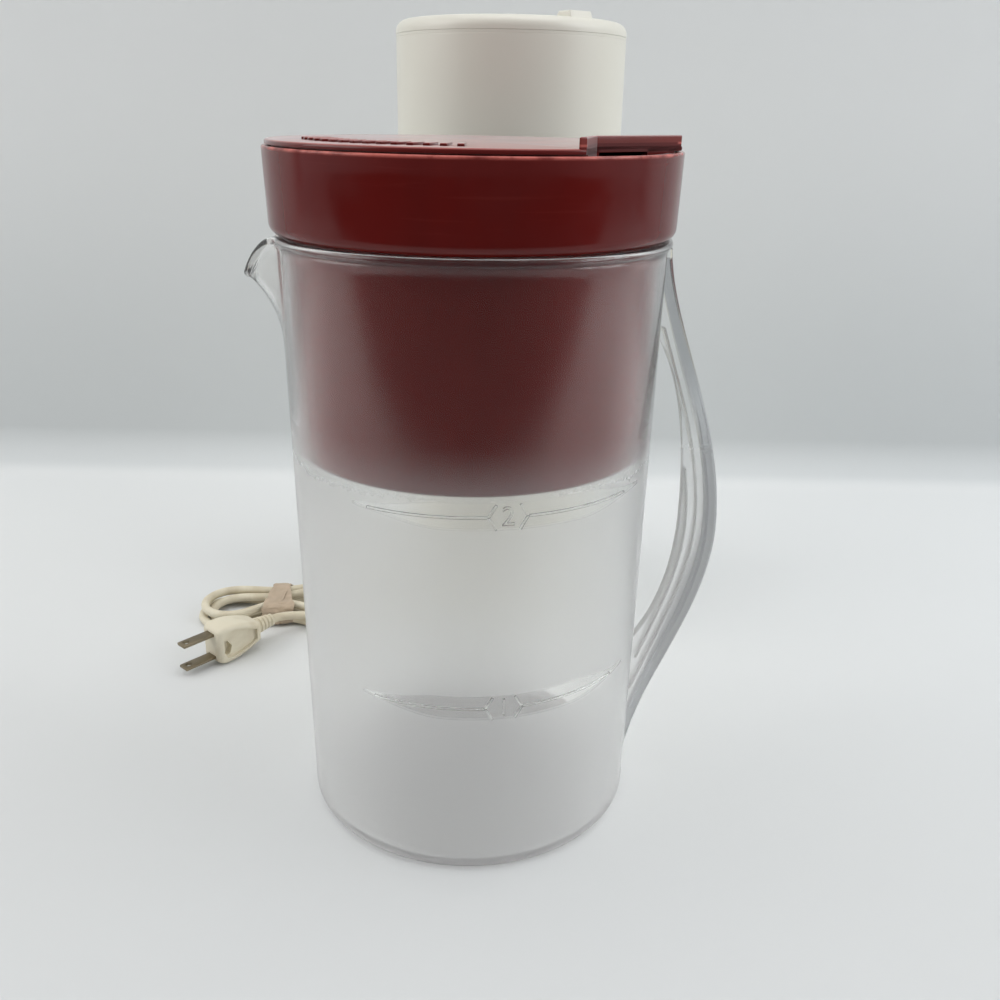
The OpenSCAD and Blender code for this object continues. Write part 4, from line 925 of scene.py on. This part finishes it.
    def number(self, text):
        """A plain number as a solid, in the flat."""
        words = bpy.data.curves.new("number", "FONT")
        words.body = text
        words.size = 9.5
        words.align_x = "CENTER"
        words.align_y = "CENTER"
        words.extrude = 0.45
        words.resolution_u = 6
        obj = bpy.data.objects.new("number", words)
        mesh = bpy.data.meshes.new_from_object(obj)
        bm = bmesh.new()
        bm.from_mesh(mesh)
        bmesh.ops.remove_doubles(bm, verts=bm.verts, dist=1e-4)
        bpy.data.objects.remove(obj)
        bpy.data.curves.remove(words)
        bpy.data.meshes.remove(mesh)
        return moved(bm, Matrix.Translation((0, 0, 0.05)))


# Basket and its lid

BAND_LOW = 227.4
LID_FACE, LID_TOP, INLET_FLOOR = 256.3, 258.0, 250.3


class TEAMAKER_OT_basket(bpy.types.Operator):
    """Spins the red basket and cuts the slots of its floor"""
    bl_idname = "teamaker.basket"
    bl_label = "Basket"

    def execute(self, context):
        b = context.scene.tea_maker.basket
        rim = 1000 * b.radius
        low = BAND_LOW
        floor = low - 1000 * b.depth
        top = low + 1000 * b.height
        wall_r, foot_r, band_r = 65.5, 64.2, rim - 0.8
        outline = [(0, floor)] + arc(foot_r - 2, floor + 2, 2, -90, 0, 6)
        outline += [(foot_r + 1.3 * t, floor + (low - floor) * t) for t in (0.25, 0.5, 0.75, 0.97)]
        outline += [(wall_r - 0.05, low - 0.6), (wall_r + 0.4, low)]
        outline += arc(band_r - 4, low + 4, 4, -90, 0, 12)
        outline += [(band_r + 0.8 * t, low + 4 + 24 * t) for t in (0.25, 0.5, 0.75)]
        outline += arc(rim - 0.7, top - 0.7, 0.7, 0, 90, 5) + arc(rim - 1.5, top - 0.5, 0.5, 90, 180, 3)
        outline += arc(band_r - 3.6, low + 3.6, 1.6, 0, -90, 5)
        outline += [(wall_r - 2, low + 2), (foot_r - 2, floor + 4)]
        outline += arc(foot_r - 4, floor + 4, 2, 0, -90, 4) + [(0, floor + 2)]
        solid = turned(outline)
        cuts = bmesh.new()
        for k in range(1, 6):
            count = 4 * k + 2
            for i in range(count):
                slot = block((-3, -0.8, -3), (3, 0.8, 3))
                join(cuts, moved(slot, about_z(360 * i / count + 7 * k) @ at(10 * k + 3, 0, floor)))
        solid = carve(solid, ("DIFFERENCE", cuts))
        piece("basket_red", solid, glossy_red("Rubbed red plastic", 0.2558), "brew_basket", "red_plastic",
              "brew_basket", place=AT_PITCHER, sharp=35)
        return {"FINISHED"}


class TEAMAKER_OT_pitcher_lid(bpy.types.Operator):
    """Makes the red lid with its water inlet and ribs"""
    bl_idname = "teamaker.pitcher_lid"
    bl_label = "Pitcher lid"

    def execute(self, context):
        corner, front, end = Vector((39, -41)), Vector((34, -63)), Vector((74, -9))
        n1 = self.left(corner - front)
        n2 = self.left(end - corner)
        lid, top, deep = LID_FACE, LID_TOP, INLET_FLOOR

        def back(t):
            return corner + t * (n1 + n2) / (1 + n1.dot(n2))

        def plan(t):
            return [front * 1.3 + t * n1, front + t * n1, back(t), end + t * n2, Vector((93.6, -79.2))]

        def drum(radius):
            return rod(radius, 40, at(0, 0, 256), STEPS)

        walls = [front, corner, end, end + 2 * n2, back(2), front + 2 * n1]
        plate = turned([(0, lid)] + arc(70.4, lid + 0.5, 0.5, -90, 0, 3)
                       + arc(70, top - 0.9, 0.9, 0, 90, 5) + [(0, top)])
        plate = carve(plate, ("DIFFERENCE", prism(plan(0), lid - 0.6, top + 2)))
        skirt = turned([(66.8, 246.3), (67.4, 246.3), (68.55, 247), (68.6, 250), (68.6, lid + 0.1),
                        (66.8, lid + 0.1)])
        skirt = carve(skirt, ("DIFFERENCE", prism(plan(0), lid - 0.6, top + 2)))
        lower = carve(prism(walls, deep, lid + 0.4), ("INTERSECT", drum(68.5)))
        upper = carve(prism(walls, lid + 0.2, top + 3.2), ("INTERSECT", drum(70.6)))
        floor = carve(prism(plan(1), deep, deep + 1.6), ("INTERSECT", drum(68.3)))
        slot = block((1, -1, deep + 1.6), (24, 3, deep + 6.8))
        turn = math.atan2(end.y - corner.y, end.x - corner.x)
        moved(slot, at(*corner, 0) @ Matrix.Rotation(turn, 4, "Z"))
        copy = slot.copy()
        lower = carve(lower, ("DIFFERENCE", slot))
        upper = carve(upper, ("DIFFERENCE", copy))
        bmesh.ops.dissolve_limit(upper, angle_limit=math.radians(1), verts=upper.verts, edges=upper.edges)
        ends = [e for e in upper.edges if min(v.co.z for v in e.verts) > top + 3.1]
        rounded(upper, ends, 0.45)
        parts = [skirt, lower, upper, floor]
        for i in range(context.scene.tea_maker.basket.ribs):
            rib = block((-5, -1.1, -0.2), (5, 1.1, 0.8), 0.35, 3)
            parts.append(moved(rib, about_z(-162 + 5 * i) @ at(54, 0, top)))
        join(plate, *parts)
        piece("lid_red", plate, glossy_red("Rubbed red lid with painted top reflection", 0.2588, 0.0006, 0.45), "pitcher_lid",
              "red_plastic", "pitcher_lid", place=AT_PITCHER, sharp=30)
        return {"FINISHED"}

    def left(self, v):
        return Vector((-v.y, v.x)).normalized()


# Tower

# The hinge of the tower's lid, as (y, z) from the tower's axis, and its knuckle and bore
HINGE = (-58.7, 301.7)
KNUCKLE, PIN_BORE = 3.2, 1.55
SCREW_RING = 47.9
FOOT_Z = 3


class TEAMAKER_OT_tower(bpy.types.Operator):
    """Makes the cream shell, its hinged lid, the outlet and the reservoir"""
    bl_idname = "teamaker.tower"
    bl_label = "Tower"

    def execute(self, context):
        t = context.scene.tea_maker.tower
        cream = aged_cream("Aged cream plastic")
        radius, height, cap = 1000 * t.radius, 1000 * t.height, 1000 * t.cap
        flange_and_gap = 1.6
        self.shell(radius, height, cream)
        self.lid(radius + 0.1, 1000 * (t.height + t.cap) + flange_and_gap, cap, 1000 * t.fillet, cream)
        eased("outlet", "outlet_spout", cream, "tower", "cream_plastic", 0.0008)
        eased("tank", "reservoir", cream, "tower", "cream_plastic", 0.0001)
        return {"FINISHED"}

    def shell(self, r, h, cream):
        outline = [(r - 2.4, FOOT_Z), (r - 0.8, FOOT_Z)] + arc(r - 0.8, FOOT_Z + 0.8, 0.8, -90, 0, 4)
        outline += [(r, z) for z in steps_of(6, 4, h - 0.5)]
        outline += arc(r - 0.15, h - 0.15, 0.15, 0, 90, 2) + [(r - 2.4, h)]
        solid = turned(outline)
        outlet = block((-15.2, -72, 264.8), (15.2, -42.9, 281.2))
        switch = block((-63, -7.2, 25.3), (-42.9, 7.2, 46.7))
        lead = rod(4.1, 14, about_z(RELIEF_ASIDE) @ at(54, 0, RELIEF_Z) @ ALONG_X, 48)
        solid = carve(solid, ("DIFFERENCE", join(outlet, switch)), ("DIFFERENCE", lead))
        ear = arc(*HINGE, KNUCKLE, 0, 180, 15)
        ear += [(-61.9, 301.7), (-54.8, 279.1), (-52.3, 285.1), (-52.3, 296.1), (-55.5, 296.1)]
        for x in (-13.3, 8.3):
            join(solid, self.bored(prism(ear, x, x + 5, 0.4)))
        for a in (45, 135, 225, 315):
            boss = turned([(1.6, 5.5), (4.5, 5.5), (4.5, 23.1), (4.1, 23.5), (1.6, 23.5)], 40)
            moved(boss, about_z(a) @ at(SCREW_RING, 0, 0))
            web = moved(block((46.5, -1.5, 5.6), (53.2, 1.5, 23)), about_z(a))
            room = moved(rod(4.4, 60, at(SCREW_RING, 0, 14), 40), about_z(a))
            join(solid, boss, carve(web, ("DIFFERENCE", room)))
        piece("shell", solid, cream, "tower", "cream_plastic", "tower_shell", place=AT_TOWER, sharp=35)

    def bored(self, bm):
        """Stands a flat knuckle up beside the hinge and bores it for the pin."""
        moved(bm, ON_SIDE)
        return carve(bm, ("DIFFERENCE", rod(PIN_BORE, 60, at(0, *HINGE) @ ALONG_X)))

    def lid(self, r, top, high, fillet, cream):
        """The closed lid with its inner lip, hinge knuckle and finger tab."""
        low = top - high
        under = top - 2
        outline = [(0, under), (r - fillet, under)] + arc(r - fillet, top - fillet, fillet - 2, 90, 0, 8)
        # The skirt comes almost down to the tank's flange, so that the seam hardly shows.
        skirt = low - 0.25
        outline += [(r - 2, skirt), (r - 0.15, skirt), (r, skirt + 0.15)]
        outline += arc(r - fillet, top - fillet, fillet, 0, 90, 14)
        outline += [(r * t, top) for t in (0.8, 0.6, 0.4, 0.2)] + [(0, top)]
        cap = turned(outline)
        lip_top = under + 0.2
        lip = turned([(40.8, 296.1), (42.0, 296.1), (42.4, 296.6), (42.4, lip_top), (40.8, lip_top)], 128)
        moved(lip, at(0, 5.5, 0))
        ears = join(*[block((x, -63.3, 284), (x + 5.6, -49.3, 314)) for x in (-13.6, 8)])
        cap = carve(cap, ("DIFFERENCE", ears))
        tab = prism([(-6, -0.2), (-3.5, 3.1), (4, 3.1), (5.5, -0.2)], -6.5, 6.5, 0.7, 3)
        moved(tab, at(0, r - 9, top - 0.5) @ ON_SIDE)
        tab = carve(tab, ("INTERSECT", rod(r - 1.5, 30, at(0, 0, top), 128)))
        joint = arc(*HINGE, KNUCKLE, 90, 270, 15)
        joint += [(-58.7, 298.5), (-54.5, low), (-54.5, 304.9)]
        join(cap, lip, tab, self.bored(prism(joint, -8, 8, 0.3)))
        piece("tower_lid", cap, cream, "reservoir_lid", "cream_plastic", "reservoir_lid",
              place=AT_TOWER, sharp=35)


INNER_NODES = (
    "lid_hinge_pin", "riser_hose", "upper_feed_hose", "lower_feed_hose", "check_valve", "check_ball",
    "hose_clamps", "heater_casting", "heater_tube", "heating_element", "heater_screws", "thermostat",
    "thermal_fuse", "sensor_clip", "switch_body", "switch_rocker", "lead_wires", "base_plate",
    "base_screws", "rubber_feet")


class TEAMAKER_OT_inner_parts(bpy.types.Operator):
    """Gives the heater, the hoses, the switch and the base their finishes"""
    bl_idname = "teamaker.inner_parts"
    bl_label = "Inner parts"

    def execute(self, context):
        cream = bpy.data.materials["Aged cream plastic"]
        black = moulded("Black moulded plastic", (0.025, 0.025, 0.027), 0.42)
        looks = {
            "black_plastic": black,
            "red_plastic": moulded("Red rocker plastic", (0.35, 0.02, 0.015), 0.28),
            "cream_plastic": cream,
            "white_plastic": moulded("White moulded plastic", (0.72, 0.72, 0.69), 0.4),
            "black_rubber": moulded("Black rubber", (0.03, 0.03, 0.03), 0.75, 500, 0.00008),
            "silicone": moulded("Milky silicone", (0.72, 0.72, 0.68), 0.38, 400, 0.00002,
                                Subsurface_Weight=0.15),
            "wire_insulation": moulded("Wire covering", (0.03, 0.03, 0.035), 0.5),
            "steel": metal("Brushed steel", (0.56, 0.56, 0.57), 0.3, 120, (1, 1, 9)),
            "aluminium": metal("Cast aluminium", (0.62, 0.63, 0.64), 0.48, 260, depth=0.00012),
            "brass": bpy.data.materials["Tarnished brass"],
        }
        slots = {s["node"]: s["material_slot"] for s in frame["record"].get("subparts", [])}
        for name in INNER_NODES:
            node = frame["nodes"][name]
            look = looks[slots[name]]
            if not node.data.materials:
                node.data.materials.append(look)
            for slot in node.material_slots:
                slot.material = look
        return {"FINISHED"}


class TEAMAKER_OT_stage(bpy.types.Operator):
    """Sets the pale floor, the backdrop, the lamps and the camera"""
    bl_idname = "teamaker.stage"
    bl_label = "Stage"

    def execute(self, context):
        s = context.scene.tea_maker.stage
        self.card(s)
        self.lamp("Left lamp", s.key, (-1.35, -0.3, 0.95), 1.1, (1.0, 0.985, 0.96))
        self.lamp("Right lamp", s.fill, (1.35, -0.27, 0.95), 1.0, (0.96, 0.98, 1.0))
        self.lamp("Top lamp", s.top, (0.1, 0.25, 1.5), 1.3, (1.0, 1.0, 1.0))
        self.room(s)
        self.camera(context)
        context.scene.view_settings.view_transform = "Standard"
        return {"FINISHED"}

    def card(self, s):
        """One pale card that lies as the floor and bends up as the backdrop."""
        bm = bmesh.new()
        line = [(-2.6, 0)] + arc(s.seam, s.bend, s.bend, -90, 0, 24) + [(s.seam + s.bend, 1.9)]
        verts = [bm.verts.new((-2.4, y, z)) for y, z in line]
        edges = [bm.edges.new(pair) for pair in zip(verts, verts[1:])]
        grown = bmesh.ops.extrude_edge_only(bm, edges=edges)["geom"]
        far_side = [g for g in grown if isinstance(g, bmesh.types.BMVert)]
        bmesh.ops.translate(bm, vec=(4.8, 0, 0), verts=far_side)
        bm.normal_update()
        for face in bm.faces:
            if face.normal.z < face.normal.y:
                face.normal_flip()
        mesh = bpy.data.meshes.new("floor")
        bm.to_mesh(mesh)
        bm.free()
        for polygon in mesh.polygons:
            polygon.use_smooth = True
        mesh.materials.append(self.pale_card(s))
        floor = bpy.data.objects.new("floor", mesh)
        bpy.context.scene.collection.objects.link(floor)

    def pale_card(self, s):
        """The card's finish, as floor and as backdrop."""
        mat = finish("Pale card", s.floor, 0.9, Specular_IOR_Level=0.2)
        wash(mat, grain(mat, 3, 3), (0.2, tuple(0.98 * c for c in s.floor)), (0.8, s.floor))
        tree = mat.node_tree
        path = tree.nodes.new("ShaderNodeLightPath")
        y, z = axes_of(tree)[1:]
        # The backdrop is painted darker just above the floor, fading out upward: a painted shade.
        rise = times(tree, ease(tree, z, -0.002, 0.006), ease(tree, z, 0.03, 0.3, 1.0, 0.0))
        stain(mat, rise, s.wall)
        stain(mat, ease(tree, y, -0.2, 0.1, 0.8, 0.0), tuple(0.8 * c for c in s.floor))
        # Glossy pieces reflect a darker floor in front of them.
        far = ease(tree, y, -0.62, -0.36, 1.0, 0.0)
        stain(mat, times(tree, far, path.outputs["Is Glossy Ray"]), (0.03, 0.03, 0.035))
        # The card shows its front alone, so that it hides nothing in a view from behind.
        back = tree.nodes.new("ShaderNodeNewGeometry").outputs["Backfacing"]
        tree.links.new(minus(tree, 1.0, back), tree.nodes["Principled BSDF"].inputs["Alpha"])
        return mat

    def room(self, s):
        """Pale surroundings, darker in front except where the camera sees them."""
        world = bpy.data.worlds.new("Room")
        bpy.context.scene.world = world
        world.use_nodes = True
        tree = world.node_tree
        air = tree.nodes["Background"]
        air.inputs["Color"].default_value = (0.93, 0.96, 1.0, 1)
        coords = tree.nodes.new("ShaderNodeTexCoord")
        split = tree.nodes.new("ShaderNodeSeparateXYZ")
        tree.links.new(coords.outputs["Generated"], split.inputs[0])
        front = ease(tree, split.outputs[1], -0.95, -0.2, 0.34 * s.air, s.air)
        seen = tree.nodes.new("ShaderNodeLightPath").outputs["Is Camera Ray"]
        front = math_node(tree, "MAXIMUM", front, times(tree, seen, s.air))
        tree.links.new(front, air.inputs["Strength"])

    def camera(self, context):
        camera = bpy.data.cameras.new("Camera")
        camera.lens = 36
        camera.sensor_width = 36
        camera.clip_start = 0.01
        eye = bpy.data.objects.new("Camera", camera)
        tilt, roll = math.pi / 2 - 0.3734, 0.0184
        eye.matrix_world = (at(0.00425, -0.44621, 0.2685) @ Matrix.Rotation(tilt, 4, "X")
                            @ Matrix.Rotation(roll, 4, "Z"))
        context.scene.collection.objects.link(eye)
        context.scene.camera = eye

    def lamp(self, name, power, place, width, colour):
        light = bpy.data.lights.new(name, "AREA")
        light.energy = power
        light.size = width
        light.color = colour
        obj = bpy.data.objects.new(name, light)
        aim = Vector((0, 0, 0.12)) - Vector(place)
        obj.matrix_world = at(*place) @ aim.to_track_quat("-Z", "Y").to_matrix().to_4x4()
        bpy.context.scene.collection.objects.link(obj)


class TEAMAKER_PT_panel(bpy.types.Panel):
    """The steps that dress the iced tea maker"""
    bl_idname = "TEAMAKER_PT_panel"
    bl_label = "Tea Maker"
    bl_space_type = "VIEW_3D"
    bl_region_type = "UI"
    bl_category = "Tea Maker"

    def draw(self, context):
        for step in STEPS_IN_ORDER:
            self.layout.operator("teamaker." + step)
        for group in ("pitcher", "basket", "tower", "lead", "stage"):
            box = self.layout.box()
            box.label(text=group.capitalize())
            values = getattr(context.scene.tea_maker, group)
            for key in values.__annotations__:
                box.prop(values, key)


STEPS_IN_ORDER = ("stage", "mains_lead", "pitcher", "basket", "pitcher_lid", "tower", "inner_parts")
CLASSES = (PitcherSettings, BasketSettings, TowerSettings, LeadSettings, StageSettings, TeaMakerSettings,
           TEAMAKER_OT_stage, TEAMAKER_OT_mains_lead, TEAMAKER_OT_pitcher, TEAMAKER_OT_basket,
           TEAMAKER_OT_pitcher_lid, TEAMAKER_OT_tower, TEAMAKER_OT_inner_parts, TEAMAKER_PT_panel)


def register():
    for item in CLASSES:
        bpy.utils.register_class(item)
    bpy.types.Scene.tea_maker = PointerProperty(type=TeaMakerSettings)


def unregister():
    del bpy.types.Scene.tea_maker
    for item in reversed(CLASSES):
        bpy.utils.unregister_class(item)


def main():
    register()
    for step in STEPS_IN_ORDER:
        getattr(bpy.ops.teamaker, step)()


if __name__ == "__main__":
    main()
